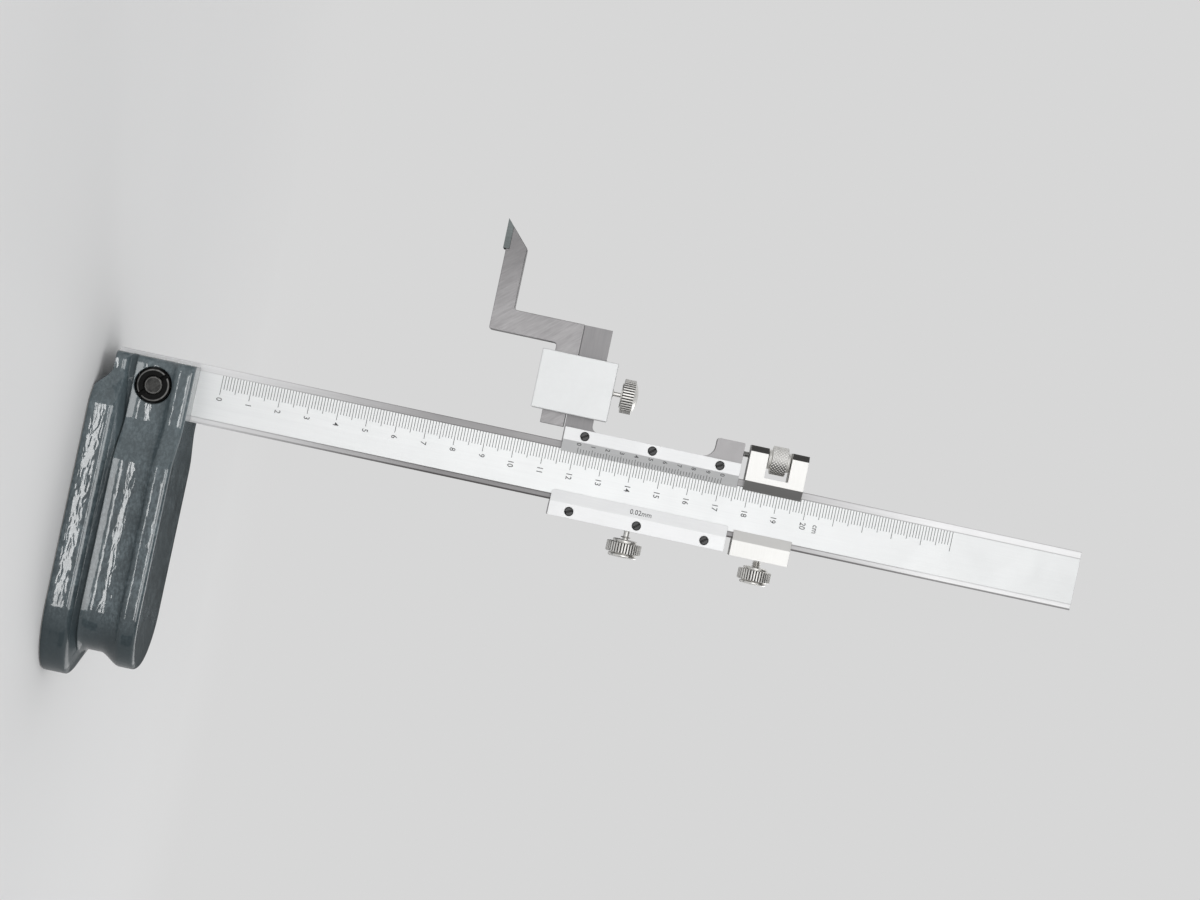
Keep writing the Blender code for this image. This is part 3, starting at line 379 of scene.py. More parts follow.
carriageLook = dict(
    steelBase, dark=(0.84, 0.835, 0.815), light=(0.905, 0.90, 0.88), stretch=(160, 2000, 2000),
    roughness=(0.40, 0.48), bump=0.08, edgeColour=(0.97, 0.965, 0.95), smudgeScale=70.0,
    smudge=0.08, smudgeColour=(0.84, 0.83, 0.81),
)
sideLook = dict(
    lip=(0.24, 0.236, 0.232), chamfer=(0.085, 0.083, 0.08), otherLip=(0.69, 0.685, 0.67), share=0.9,
    forward=-0.2, slope=0.12, leftReach=8 * mm,
)


def makeCarriageSteel():
    # the slopes beside the beam and at the outer end are painted darker: a painted dark reflection
    look = sideLook
    made, shader, place = steelFinish("carriageSatin", carriageLook)
    lean = splitAxes(addNode(made.node_tree, "ShaderNodeTexCoord").outputs["Normal"])
    forward = mathNode("LESS_THAN", lean["Y"], look["forward"])
    left = mathNode("LESS_THAN", splitAxes(place)["X"], beamLow.x + look["leftReach"])
    right = mathNode("SUBTRACT", 1.0, left)
    toHeel = mathNode("GREATER_THAN", lean["X"], look["slope"])
    toScriber = mathNode("LESS_THAN", lean["X"], -look["slope"])
    for turn, part, key in ((toHeel, left, "lip"), (toScriber, left, "chamfer"),
                            (toScriber, right, "otherLip")):
        tintOver(shader, product(forward, turn, part, look["share"]), look[key])
    return made


# the scriber's foot is darker than its upright arm
scriberLook = dict(
    steelBase, dark=(0.30, 0.29, 0.295), light=(0.50, 0.49, 0.495), metallic=0.92,
    stretch=(220, 1900, 1900), turn=(0.0, -0.87, 0.0), roughness=(0.4, 0.5), bump=0.3,
    bumpDepth=0.00003, edgeRadius=0.00015, edgeWearAndReflection=0.6, edgeColour=(0.66, 0.65, 0.655),
    smudgeScale=90.0, smudgeColour=(0.33, 0.325, 0.33), tint=(0.16, 0.155, 0.158),
    tintAlong=("X", beamLow.x), tintReach=(-60 * mm, -36 * mm), tintShares=(0.6, 0.0),
)
carbideLook = dict(
    steelBase, dark=(0.11, 0.125, 0.125), light=(0.19, 0.21, 0.21), metallic=0.85,
    stretch=(2400, 2400, 300), roughness=(0.26, 0.4), edgeRadius=0.00008, edgeWearAndReflection=0.6,
    edgeColour=(0.5, 0.52, 0.52), smudgeScale=200.0, smudgeColour=(0.12, 0.13, 0.13),
)
# the heads' edges are much darker than their faces
screwLook = dict(
    steelBase, dark=(0.055, 0.055, 0.056), light=(0.115, 0.115, 0.116), metallic=0.7,
    stretch=(1800, 1800, 1800), roughness=(0.3, 0.45), bump=0.4, bumpDepth=0.00003,
    edgeRadius=0.00036, edgeWearAndReflection=1.0, edgeColour=(0.006, 0.006, 0.006), smudgeScale=300.0,
    smudge=0.3, smudgeColour=(0.05, 0.05, 0.05),
)
rodLook = dict(
    steelBase, dark=(0.42, 0.42, 0.41), light=(0.62, 0.62, 0.61), metallic=0.95,
    stretch=(1500, 1500, 1500), roughness=(0.25, 0.4), edgeRadius=0.00005, edgeWearAndReflection=0.5,
    edgeColour=(0.8, 0.8, 0.79), smudgeScale=300.0, smudge=0.3, smudgeColour=(0.3, 0.3, 0.29),
)
nutLook = dict(
    steelBase, dark=(0.002, 0.002, 0.002), light=(0.007, 0.007, 0.007), metallic=0.2, shine=0.2,
    stretch=(1300, 1300, 1300), roughness=(0.35, 0.5), bump=0.35, bumpDepth=0.00003,
    edgeRadius=0.0001, edgeWearAndReflection=0.2, edgeColour=(0.02, 0.02, 0.02), smudgeScale=260.0, smudge=0.3,
    smudgeColour=(0.009, 0.009, 0.008), ringInner=4.86 * mm, ringOuter=5.3 * mm,
    ringColour=(0.26, 0.257, 0.25), ringDepth=0.4 * mm,
)
studLook = dict(
    steelBase, dark=(0.006, 0.006, 0.0058), light=(0.17, 0.168, 0.162), metallic=0.4, shine=0.3,
    stretch=(1300, 1300, 1300), roughness=(0.35, 0.5), bump=0.8, bumpDepth=0.00004,
    edgeRadius=0.0001, edgeWearAndReflection=0.3, edgeColour=(0.12, 0.12, 0.115), smudgeScale=400.0, smudge=0.4,
    smudgeColour=(0.03, 0.03, 0.029), ringInner=2.52 * mm, ringOuter=2.95 * mm,
    ringColour=(0.42, 0.415, 0.40), ringDepth=0.7 * mm,
)
ringLook = dict(blur=0.06 * mm, grain={"Scale": 900.0, "Detail": 2.0}, ringBreakUp=(0.3, 0.6, 0.5, 1.0))


def ringFinish(name, look, node):
    # blackened steel with a bright ring round its axis: a painted highlight on its chamfered edge,
    # broken up by noise
    made, shader, place = steelFinish(name, look)
    low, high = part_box(node)
    centre = (low + high) / 2
    x, y, z = splitAxes(place)
    across = mathNode("SUBTRACT", x, centre.x)
    up = mathNode("SUBTRACT", z, centre.z)
    square = mathNode("MULTIPLY_ADD", up, up, product(across, across))
    reach = mathNode("SQRT", square)
    blur = ringLook["blur"]
    inside = spreadOf(reach, look["ringInner"] - blur, look["ringInner"] + blur)
    outside = spreadOf(reach, look["ringOuter"] - blur, look["ringOuter"] + blur, 1.0, 0.0)
    depth = low.y + look["ringDepth"]
    front = spreadOf(y, depth, depth + blur, 1.0, 0.0)
    uneven = spreadOf(noiseOf(place, ringLook["grain"]), *ringLook["ringBreakUp"])
    tintOver(shader, product(inside, outside, front, uneven), look["ringColour"])
    return made


nickelLook = dict(
    steelBase, dark=(0.68, 0.67, 0.645), light=(0.88, 0.87, 0.845), metallic=0.95,
    stretch=(1800, 1800, 1800), roughness=(0.22, 0.34), bump=0.12, edgeRadius=0.00006,
    edgeColour=(0.85, 0.84, 0.81), smudgeScale=260.0, smudgeColour=(0.50, 0.49, 0.47),
    groove=(0.03, 0.028, 0.025), grooveDepths=(0.12, 0.7),
)
satinLook = dict(nickelLook, dark=(0.79, 0.78, 0.755), light=(0.92, 0.91, 0.885), metallic=0.5,
                 roughness=(0.36, 0.48), grooveDepths=(0.05, 0.6))


def makeNickel(name, look):
    # bright metal, darker in the cuts of the knurling
    made, shader = steelFinish(name, look)[:2]
    cuts = addNode(made.node_tree, "ShaderNodeAttribute", attribute_name="groove")
    tintOver(shader, spreadOf(cuts.outputs["Fac"], *look["grooveDepths"]), look["groove"])
    return made


paintLook = dict(
    inMm(grooveHeights=(9.1, 9.6, 11.6, 12.0), heelReach=(82, 96), noseReach=(30, 44),
         bareHeight=0.35),
    deep=(0.032, 0.043, 0.048), body=(0.048, 0.064, 0.072), bright=(0.122, 0.153, 0.166),
    weave=0.52, swellTone=0.4, metallic=0.0, roughness=(0.35, 0.5), coat=1.0, coatRoughness=0.045,
    flowDepth=0.000065, pitDepth=0.0000015, baseGloss=0.08, grooveCoat=0.15, heelShade=0.92,
    heelCoat=0.42, grooveShade=0.5, noseLight=0.27, chip=(0.13, 0.14, 0.145), edgeRadius=0.0005,
    edgeWearAndReflection=0.25, bareSteel=(0.36, 0.36, 0.35), flow=(230.0, 230.0, 620.0),
    flowNoise={"Scale": 1.0, "Detail": 1.0, "Roughness": 0.4, "Distortion": 0.5},
    weaveStretch=(800.0, 800.0, 1250.0),
    weaveNoise={"Scale": 1.0, "Detail": 3.0, "Roughness": 0.65},
    pitNoise={"Scale": 1800.0, "Detail": 2.0}, patchNoise={"Scale": 130.0, "Detail": 3.0},
    noiseRange=(0.35, 0.65), dullRange=(0.3, 0.7), swellBase=0.1, deepShare=0.55,
    handlingScale=90.0, speckShare=0.3, coatIor=1.55,
)


def makeHammeredPaint():
    # thick glossy paint that has drawn into small swells, over a ground steel sole
    look = paintLook
    made, shader, place = newMaterial("hammeredPaint")
    tree = made.node_tree
    swell = noiseOf(mapped(place, Scale=look["flow"]), look["flowNoise"])
    weave = noiseOf(mapped(place, Scale=look["weaveStretch"]), look["weaveNoise"])
    pits = noiseOf(place, look["pitNoise"])
    patch = noiseOf(place, look["patchNoise"])
    touch = placeGroup(tree, handling, place, Scale=look["handlingScale"])
    edge = placeGroup(tree, softEdge, Radius=look["edgeRadius"])
    split = splitAxes(place)
    x, z = split["X"], split["Z"]
    base, spread = look["swellBase"], look["noiseRange"]
    light = mathNode("ADD", spreadOf(swell, *spread, base, base + look["swellTone"]),
                     spreadOf(weave, *spread, -look["weave"], look["weave"]))
    tone = mixColour(light, look["body"], look["bright"])
    # painted shade and duller paint in the groove under the lip, painted shade on the round heel,
    # and painted light on the paler nose
    first, second, third, fourth = look["grooveHeights"]
    groove = product(spreadOf(z, first, second), spreadOf(z, third, fourth, 1.0, 0.0))
    across = mathNode("SUBTRACT", x, beamLow.x)
    heel = spreadOf(across, *look["heelReach"], 0.0, look["heelShade"])
    for mask, colour in (
        (spreadOf(patch, *spread, look["deepShare"], 0.0), "deep"),
        (product(touch["Speck"], look["speckShare"]), "chip"),
        (product(edge["Edge"], look["edgeWearAndReflection"]), "chip"),
        (product(groove, look["grooveShade"]), "deep"),
        (heel, "deep"),
        (spreadOf(across, *look["noseReach"], look["noseLight"], 0.0), "bright"),
        (mathNode("LESS_THAN", z, look["bareHeight"]), "bareSteel"),
    ):
        tone = mixColour(mask, tone, look[colour])
    wire(tone, shader.inputs["Base Color"])
    dull = spreadOf(patch, *look["dullRange"], *look["roughness"])
    wire(dull, shader.inputs["Roughness"])
    shader.inputs["Metallic"].default_value = look["metallic"]
    shader.inputs["Specular IOR Level"].default_value = look["baseGloss"]
    coat = product(spreadOf(groove, 0.0, 1.0, look["coat"], look["grooveCoat"]),
                   spreadOf(heel, 0.0, look["heelShade"], 1.0, look["heelCoat"]))
    wire(coat, shader.inputs["Coat Weight"])
    shader.inputs["Coat Roughness"].default_value = look["coatRoughness"]
    shader.inputs["Coat IOR"].default_value = look["coatIor"]
    fine = bumpOf(pits, 1.0, look["pitDepth"], edge["Normal"])
    bump = bumpOf(swell, 1.0, look["flowDepth"], fine)
    wire(bump, shader.inputs["Normal"])
    wire(bump, shader.inputs["Coat Normal"])
    return made


inkLook = dict(
    dark=(0.05, 0.052, 0.055), light=(0.13, 0.132, 0.136), roughness=0.6,
    grain={"Scale": 3500.0, "Detail": 3.0}, bump=0.2, bumpDepth=0.00001,
)


def makeInk():
    # etched and blackened lines, a little uneven
    look = inkLook
    made, shader, place = newMaterial("etchedInk")
    uneven = noiseOf(place, look["grain"])
    wire(mixColour(uneven, look["dark"], look["light"]), shader.inputs["Base Color"])
    shader.inputs["Roughness"].default_value = look["roughness"]
    bump = bumpOf(uneven, look["bump"], look["bumpDepth"])
    wire(bump, shader.inputs["Normal"])
    return made


hammeredPaint = makeHammeredPaint()
frameSteel = steelFinish("frameSteel", frameLook)[0]
screwBlack = steelFinish("screwBlack", screwLook)[0]
rodSteel = steelFinish("rodSteel", rodLook)[0]
knurledNickel = makeNickel("knurledNickel", nickelLook)
satinNickel = makeNickel("satinNickel", satinLook)
etchedInk = makeInk()

# every other piece is a black screw
finishes = {
    "base_casting": hammeredPaint,
    "beam": makeBeamSteel(),
    "beam_nut": ringFinish("nutBlack", nutLook, "beam_nut"),
    "beam_stud": ringFinish("studBlack", studLook, "beam_stud"),
    "slider_frame": frameSteel,
    "slider_gib": frameSteel,
    "carriage_gib": frameSteel,
    "vernier_plate": steelFinish("plateSatin", plateLook)[0],
    "guide_plate": steelFinish("guideSatin", guideLook)[0],
    "scriber_clamp_box": steelFinish("boxSatin", boxLook)[0],
    "fine_adjust_block": makeCarriageSteel(),
    "fine_adjust_rod": rodSteel,
    "fine_adjust_nut": satinNickel,
    "slider_clamp_screw": knurledNickel,
    "carriage_clamp_screw": knurledNickel,
    "box_clamp_screw": knurledNickel,
    "scriber_body": steelFinish("scriberSteel", scriberLook)[0],
    "scriber_tip": steelFinish("carbideEdge", carbideLook)[0],
}
for name, piece in nodes.items():
    piece.data.materials.clear()
    piece.data.materials.append(finishes.get(name, screwBlack))
print("finishes placed")


# making pieces

def placeObject(name, data):
    made = bpy.data.objects.new(name, data)
    scene.collection.objects.link(made)
    return made


def addPiece(name, mesh, look, body):
    piece = placeObject(name, mesh)
    mesh.materials.append(look)
    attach(piece, body)
    return piece


def shapedMesh(holder):
    # what an object looks like with its text or modifiers worked out
    bpy.context.view_layer.update()
    evaluated = holder.evaluated_get(bpy.context.evaluated_depsgraph_get())
    return bpy.data.meshes.new_from_object(evaluated)


def meshFrom(work, name):
    mesh = bpy.data.meshes.new(name)
    work.to_mesh(mesh)
    work.free()
    return mesh


def circlePoints(centre, radii):
    # evenly turned points round a centre, with a radius for each
    turns = [(radius, 2 * pi * i / len(radii)) for i, radius in enumerate(radii)]
    return [(centre[0] + radius * cos(turn), centre[1] + radius * sin(turn))
            for radius, turn in turns]


def ringOf(work, radii, height, centre=(0.0, 0.0)):
    return [work.verts.new((x, y, height)) for x, y in circlePoints(centre, radii)]


def skin(work, rows):
    # quads between neighbouring rings of points
    count = len(rows[0])
    for lower, upper in zip(rows, rows[1:]):
        for i in range(count):
            j = (i + 1) % count
            work.faces.new((lower[i], lower[j], upper[j], upper[i]))


def closeEnds(work, rows):
    work.faces.new(list(reversed(rows[0])))
    work.faces.new(rows[-1])


def shadeRound(mesh, sharpAbove, everyFace=False):
    # smooth sides; the ends stay flat, unless every face is to be smooth
    for face in mesh.polygons:
        face.use_smooth = everyFace or len(face.vertices) == 4
    mesh.set_sharp_from_angle(angle=radians(sharpAbove))


def addLine(work, look, start, end, height, depth=0.0, lift=None):
    # a thin bar from start to end along X; lift moves a corner's depth, for a sloping face
    half, stand = look["lineWidth"] / 2, look["stand"]
    low = Vector((start, depth - stand, height - half))
    high = Vector((end, depth + stand, height + half))
    for vert in bmesh.ops.create_cube(work, size=1.0)["verts"]:
        share = vert.co + Vector((0.5, 0.5, 0.5))
        vert.co = Vector(between(low[i], high[i], share[i]) for i in range(3))
        if lift:
            vert.co.y += lift(vert.co.x)


def addEngraving(name, work, body):
    addPiece(name, meshFrom(work, name), etchedInk, body)


letterLook = dict(stand=0.012 * mm, smoothness=3)


def addText(work, text, letters, place, lift=None, turn=0.0):
    # a word in the plain built-in face, standing on the front of a flat or sloping surface
    curve = bpy.data.curves.new("lettering", "FONT")
    curve.body = text
    curve.size = letters["size"]
    curve.align_x = "LEFT"
    curve.align_y = "CENTER"
    curve.extrude = letterLook["stand"]
    curve.offset = letters["weight"]
    curve.resolution_u = letterLook["smoothness"]
    holder = placeObject("lettering", curve)
    mesh = shapedMesh(holder)
    bpy.data.objects.remove(holder)
    bpy.data.curves.remove(curve)
    before = len(work.verts)
    work.from_mesh(mesh)
    bpy.data.meshes.remove(mesh)
    work.verts.ensure_lookup_table()
    spin = Matrix.Rotation(turn, 3, "Z")
    for vert in work.verts[before:]:
        flat = spin @ Vector((vert.co.x * letters["squeeze"], vert.co.y, 0.0))
        vert.co = Vector((place[0] + flat.x, place[1] - vert.co.z, place[2] + flat.y))
        if lift:
            vert.co.y += lift(vert.co.x)


# the base casting, lofted finely so that its long curves carry clean lines of light
castingLook = dict(
    inMm(groundHalf=22.0, groundRound=0.9, flangeRise=5.8, flangeBrow=3.0, grooveHalf=19.7,
         grooveLow=9.25, grooveHigh=11.3, lipHalf=21.5, lipHeight=11.7, hollowFoot=9.0,
         hollowWall=34.0, hollowHead=4.5, railUnder=1.92, railFoot=9.0, railFace=25.9, railBrow=2.0,
         noseInset=6.5, noseSetback=1.4, noseCorner=2.4, heelCentre=86.5, heelFoot=24.9,
         heelWaist=15.2, heelHead=18.8, waistRise=(7.6, 13.6), waistFall=(18.0, 25.0),
         flangeBend=(7.0, 20.0), bodyBend=(22.0, 37.0), noseUnderside=4.6, recess=(7.5, 15.5),
         slotFloor=2.8, slotGap=0.3, boreAlong=10.4, boreHeight=18.2, boreRadius=6.2, studHole=3.08,
         studEnd=8.02, studOverlap=1, seatGap=0.02, cutReach=30, cutSpare=2, slotTop=40),
    flangeLeans=(4.75, 8.25), lipLean=40.0, hollowLean=9.0, railUndercut=-45.0,
    railLeans=(4.0, 9.0, 14.5), browSteps=12, boreSides=72, studSides=48, flangeTop=80.0,
    # steps round each arc, from the ground edge up to the rail's face
    arcSteps=(6, 6, 12, 8, 6, 8, 8, 4), cornerSteps=8, bendSteps=22, heelSteps=36, heelSweep=88.0,
    recessSteps=24, sharpAbove=38,
)


def ease(t):
    t = min(max(t, 0.0), 1.0)
    return t * t * (3 - 2 * t)


def roll(side, radius, start, end, steps):
    # carries a (half width, height) line on through an arc; a minus radius is hollow
    width, height = side[-1]
    first = radians(start)
    for i in range(1, steps + 1):
        lean = radians(start + (end - start) * i / steps)
        side.append((width + radius * (cos(lean) - cos(first)),
                     height + radius * (sin(lean) - sin(first))))


def castingSection():
    # half of the cross-section, from the ground edge up, as (half width, height)
    look = castingLook
    ground, flange, brow, foot, wall, head, under, face = look["arcSteps"]
    side = [(look["groundHalf"], 0.0)]
    roll(side, look["groundRound"], -90, 0, ground)
    low, high = look["flangeLeans"]
    bulge = look["flangeRise"] / (sin(radians(high)) - sin(radians(low)))
    roll(side, bulge, low, high, flange)
    roll(side, look["flangeBrow"], high, look["flangeTop"], brow)
    side += [(look["grooveHalf"], look["grooveLow"]), (look["grooveHalf"], look["grooveHigh"]),
             (look["lipHalf"], look["lipHeight"])]
    roll(side, -look["hollowFoot"], look["lipLean"], look["hollowLean"], foot)
    roll(side, -look["hollowWall"], look["hollowLean"], 0, wall)
    roll(side, -look["hollowHead"], 0, look["railUndercut"], head)
    low, middle, high = look["railLeans"]
    roll(side, look["railUnder"], look["railUndercut"], low, under)
    roll(side, look["railFoot"], low, middle, face)
    roll(side, look["railFace"], middle, high, face)
    roll(side, look["railBrow"], high, 90, look["browSteps"])
    return side


def heelReach(height):
    # a long foot, a waist and a shorter head
    look = castingLook
    foot, waist, head = look["heelFoot"], look["heelWaist"], look["heelHead"]
    low, high = look["waistRise"]
    reach = between(foot, waist, ease((height - low) / (high - low)))
    low, high = look["waistFall"]
    return reach + (head - waist) * ease((height - low) / (high - low))


def castingRing(width, height, rounding):
    # one level outline of the casting: nose, side bend, straight side, round heel
    look = castingLook
    nose = width - look["noseInset"]
    reach = heelReach(height) - rounding
    share = ease((height - look["grooveLow"]) / (look["lipHeight"] - look["grooveLow"]))
    bends = zip(look["flangeBend"], look["bodyBend"])
    start, end = (between(low, high, share) for low, high in bends)
    corner = look["noseCorner"]
    side = []
    for i in range(look["cornerSteps"] + 1):
        angle = radians(180 - 90 * i / look["cornerSteps"])
        side.append((look["noseSetback"] + corner + corner * cos(angle),
                     nose - corner + corner * sin(angle)))
    for i in range(look["bendSteps"] + 1):
        share = i / look["bendSteps"]
        side.append((between(start, end, share), between(nose, width, ease(share))))
    for i in range(look["heelSteps"] + 1):
        angle = radians(90.0 - look["heelSweep"] * i / look["heelSteps"])
        side.append((look["heelCentre"] + reach * cos(angle), width * sin(angle)))
    mirrored = [(x, -y) for x, y in reversed(side)]
    return [(beamLow.x + x, y, height) for x, y in side + mirrored]


def prism(points, front, back):
    # a level outline in X and Z given thickness along Y
    work = bmesh.new()
    near = [work.verts.new((x, front, z)) for x, z in points]
    far = [work.verts.new((x, back, z)) for x, z in points]
    work.faces.new(near)
    work.faces.new(list(reversed(far)))
    for i in range(len(points)):
        j = (i + 1) % len(points)
        work.faces.new((near[i], far[i], far[j], near[j]))
    bmesh.ops.recalc_face_normals(work, faces=work.faces)
    return meshFrom(work, "cutter")


def castingCutters():
    look = castingLook
    reach, spare = look["cutReach"], look["cutSpare"]
    left, rise = beamLow.x, look["noseUnderside"]
    outside = left - spare
    start, end = look["recess"]
    nose = [(outside, -spare), (outside, rise), (left + start, rise)]
    for i in range(1, look["recessSteps"]):
        share = i / look["recessSteps"]
        nose.append((left + start + (end - start) * share, rise * (1 - ease(share))))
    nose += [(left + end, 0.0), (left + end, -spare)]
    right = beamHigh.x + look["slotGap"]
    slot = [(outside, look["slotFloor"]), (right, look["slotFloor"]), (right, look["slotTop"]),
            (outside, look["slotTop"])]
    centre = (left + look["boreAlong"], look["boreHeight"])
    bore = circlePoints(centre, [look["boreRadius"]] * look["boreSides"])
    stud = circlePoints(centre, [look["studHole"]] * look["studSides"])
    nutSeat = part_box("beam_nut")[1].y + look["seatGap"]
    return [
        prism(nose, -reach, reach),
        prism(slot, beamLow.y - look["slotGap"], beamHigh.y + look["slotGap"]),
        prism(bore, -reach, nutSeat),
        prism(stud, nutSeat - look["studOverlap"], look["studEnd"]),
    ]


def cutAway(mesh, cutters):
    # takes the cutters out of a mesh, one after another
    for cutter in cutters:
        piece = placeObject("shaping", mesh)
        tool = placeObject("cutter", cutter)
        change = piece.modifiers.new("cut", "BOOLEAN")
        change.operation = "DIFFERENCE"
        change.solver = "EXACT"
        change.object = tool
        mesh = shapedMesh(piece)
        bpy.data.objects.remove(piece)
        bpy.data.objects.remove(tool)
        bpy.data.meshes.remove(cutter)
    return mesh


def buildCasting():
    look = castingLook
    side = castingSection()
    broad = look["groundHalf"] + look["groundRound"]
    brow = side[-1 - look["browSteps"]]
    work = bmesh.new()
    rows = []
    for width, height in side:
        rounding = max(broad - width, 0.0) if height < look["groundRound"] else 0.0
        if height > brow[1]:
            rounding = brow[0] - width
        rows.append([work.verts.new(point) for point in castingRing(width, height, rounding)])
    skin(work, rows)
    closeEnds(work, rows)
    bmesh.ops.recalc_face_normals(work, faces=work.faces)
    mesh = cutAway(meshFrom(work, "casting"), castingCutters())
    mesh.name = "casting_fine"
    mesh.materials.clear()
    shadeRound(mesh, look["sharpAbove"], everyFace=True)
    casting = addPiece("casting_fine", mesh, hammeredPaint, "stand")
    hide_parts("base_casting")
    return casting


castingPiece = buildCasting()
print("casting lofted")


# the beam's main scale
scaleLook = dict(
    inMm(zeroAboveSole=38.7, left=2.5, shortEnd=7.1, middleEnd=8.0, longEnd=9.1, lineWidth=0.2,
         stand=0.012, numberLeft=9.9, unitRise=4.4),
    length=250, middleEvery=5, longEvery=10,
    letters={"size": 2.8 * mm, "squeeze": 0.88, "weight": 0.022 * mm}, lastNumber=20,
)


def buildMainScale():
    look = scaleLook
    face = beamLow.y
    left = beamLow.x
    ticks = bmesh.new()
    for step in range(look["length"] + 1):
        end = look["shortEnd"]
        if step % look["middleEvery"] == 0:
            end = look["middleEnd"]
        if step % look["longEvery"] == 0:
            end = look["longEnd"]
        height = look["zeroAboveSole"] + step * mm
        addLine(ticks, look, left + look["left"], left + end, height, face)
    addEngraving("main_scale_lines", ticks, "stand")
    numbers = bmesh.new()
    across = left + look["numberLeft"]
    for number in range(look["lastNumber"] + 1):
        height = look["zeroAboveSole"] + number * look["longEvery"] * mm
        addText(numbers, str(number), look["letters"], (across, face, height))
    addText(numbers, "cm", look["letters"], (across, face, height + look["unitRise"]))
    addEngraving("main_scale_numbers", numbers, "stand")


# the vernier
vernierLook = dict(
    inMm(zeroAboveSole=159.9, lineInset=0.02, pitch=0.98, bevelStart=-0.8, bevelEnd=3.1,
         lipThickness=0.25, lineStart=1.5, longStart=1.1, lineWidth=0.17, stand=0.012,
         numberLeft=-0.45),
    divisions=50, longEvery=5, letters={"size": 2.15 * mm, "squeeze": 0.9, "weight": 0.02 * mm},
)


def bevelDepth(x, look, depth, rise):
    # depth of a plate's sloping bevel at a place along X
    start = beamLow.x + look["bevelStart"]
    end = beamLow.x + look["bevelEnd"]
    return depth + (x - start) / (end - start) * rise


def vernierDepth(x):
    rise = plateHigh.y - plateLow.y - vernierLook["lipThickness"]
    return bevelDepth(x, vernierLook, plateLow.y, rise)


def buildVernier():
    look = vernierLook
    left = beamLow.x
    lines = bmesh.new()
    numbers = bmesh.new()
    for step in range(look["divisions"] + 1):
        number, within = divmod(step, look["longEvery"])
        start = look["lineStart"] if within else look["longStart"]
        end = left + look["bevelEnd"] - look["lineInset"]
        height = look["zeroAboveSole"] + step * look["pitch"]
        addLine(lines, look, left + start, end, height, lift=vernierDepth)
        if within == 0:
            place = (left + look["numberLeft"], 0.0, height)
            addText(numbers, str(number)[-1], look["letters"], place, vernierDepth)
    addEngraving("vernier_lines", lines, "slider")
    addEngraving("vernier_numbers", numbers, "slider")


readingLook = dict(
    inMm(bevelStart=16.3, bevelEnd=20.2, across=18.4, bottom=181.3, lipThickness=0.25),
    text="0.02mm", turn=90, letters={"size": 2.35 * mm, "squeeze": 0.98, "weight": 0.015 * mm},
)


def guideDepth(x):
    rise = guideHigh.y - guideLow.y - readingLook["lipThickness"]
    return bevelDepth(x, readingLook, guideLow.y + rise, -rise)


def buildReadingMark():
    # how finely the vernier divides, written up the right-hand bevel
    look = readingLook
    words = bmesh.new()
    place = (beamLow.x + look["across"], 0.0, look["bottom"])
    addText(words, look["text"], look["letters"], place, guideDepth, radians(look["turn"]))
    addEngraving("reading_mark", words, "slider")


buildMainScale()
buildVernier()
buildReadingMark()
print("scales engraved")


# knurled heads

def addGroove(mesh, grooves):
    layer = mesh.attributes.new("groove", "FLOAT", "POINT")
    layer.data.foreach_set("value", grooves)


# the profile's (distance, change of radius) from each named edge, and the share of the cut
knurlLook = dict(
    inMm(cut=0.28, shankRound=0.2, tipRadius=1.3, shankRadius=1.5, neckSlope=(0.1, 0.3),
         ringFoot=0.28, ringSlope=0.12, ringDrop=0.08,
         collarFoot=((0.0, -0.5), (0.15, -0.1), (0.3, 0.0)),
         collarTop=((-0.28, 0.0), (-0.2, -0.35), (-0.02, -0.35))),
    perTooth=8, sharpness=3.0, sharpAbove=32,
    knurlEnd=((0.0, -0.75 * mm, 0), (0.06 * mm, -0.32 * mm, 0.5), (0.2 * mm, 0.0, 1.0)),
)


def turnedHead(name, head, node, body, axis):
    # a turned head whose knurled stretch has wide ridges with narrow, darker cuts between
    look = knurlLook
    perTooth = look["perTooth"]
    wave = [0.5 + 0.5 * cos(2 * pi * i / perTooth) for i in range(perTooth)]
    work = bmesh.new()
    grooves = []
    rows = []
    for distance, radius, share in headStations(head):
        cuts = [(wave[i % perTooth] ** look["sharpness"]) * share
                for i in range(head["teeth"] * perTooth)]
        rows.append(ringOf(work, [radius - look["cut"] * cut for cut in cuts], distance))
        grooves += cuts
    skin(work, rows)
    closeEnds(work, rows)
    mesh = meshFrom(work, name)
    addGroove(mesh, grooves)
    shadeRound(mesh, look["sharpAbove"])
    spin = Vector((0, 0, 1)).rotation_difference(Vector(axis)).to_matrix().to_4x4()
    mesh.transform(Matrix.Translation(seatOf(node, axis, head["tip"])) @ spin)
    piece = addPiece(name, mesh, knurledNickel, body)
    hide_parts(node)


def headStations(head):
    # (distance from the seat face, radius, share of knurling)
    look = knurlLook
    tip, foot, start, end = head["tip"], head["collarStart"], head["knurlStart"], head["knurlEnd"]
    collar, neck, radius = head["collarRadius"], head["neck"], head["knurlRadius"]
    shank = look["shankRadius"]
    low, high = look["neckSlope"]
    stations = [(tip, look["tipRadius"], 0), (tip + look["shankRound"], shank, 0), (low, shank, 0),
                (high, neck, 0)]
    wide, slope = look["ringFoot"], look["ringSlope"]
    for spot, crest in head["rings"]:
        side = crest - look["ringDrop"]
        stations += [(spot - wide, neck, 0), (spot - slope, side, 0), (spot, crest, 0),
                     (spot + slope, side, 0), (spot + wide, neck, 0)]
    stations.append((foot, neck, 0))
    stations += [(foot + along, collar + rise, 0) for along, rise in look["collarFoot"]]
    stations += [(start + along, collar + rise, 0) for along, rise in look["collarTop"]]
    ends = look["knurlEnd"]
    stations += [(start + along, radius + rise, share) for along, rise, share in ends]
    stations += [(end - along, radius + rise, share) for along, rise, share in reversed(ends)]
    return stations + [(end + along, size, 0) for along, size in head["face"]]


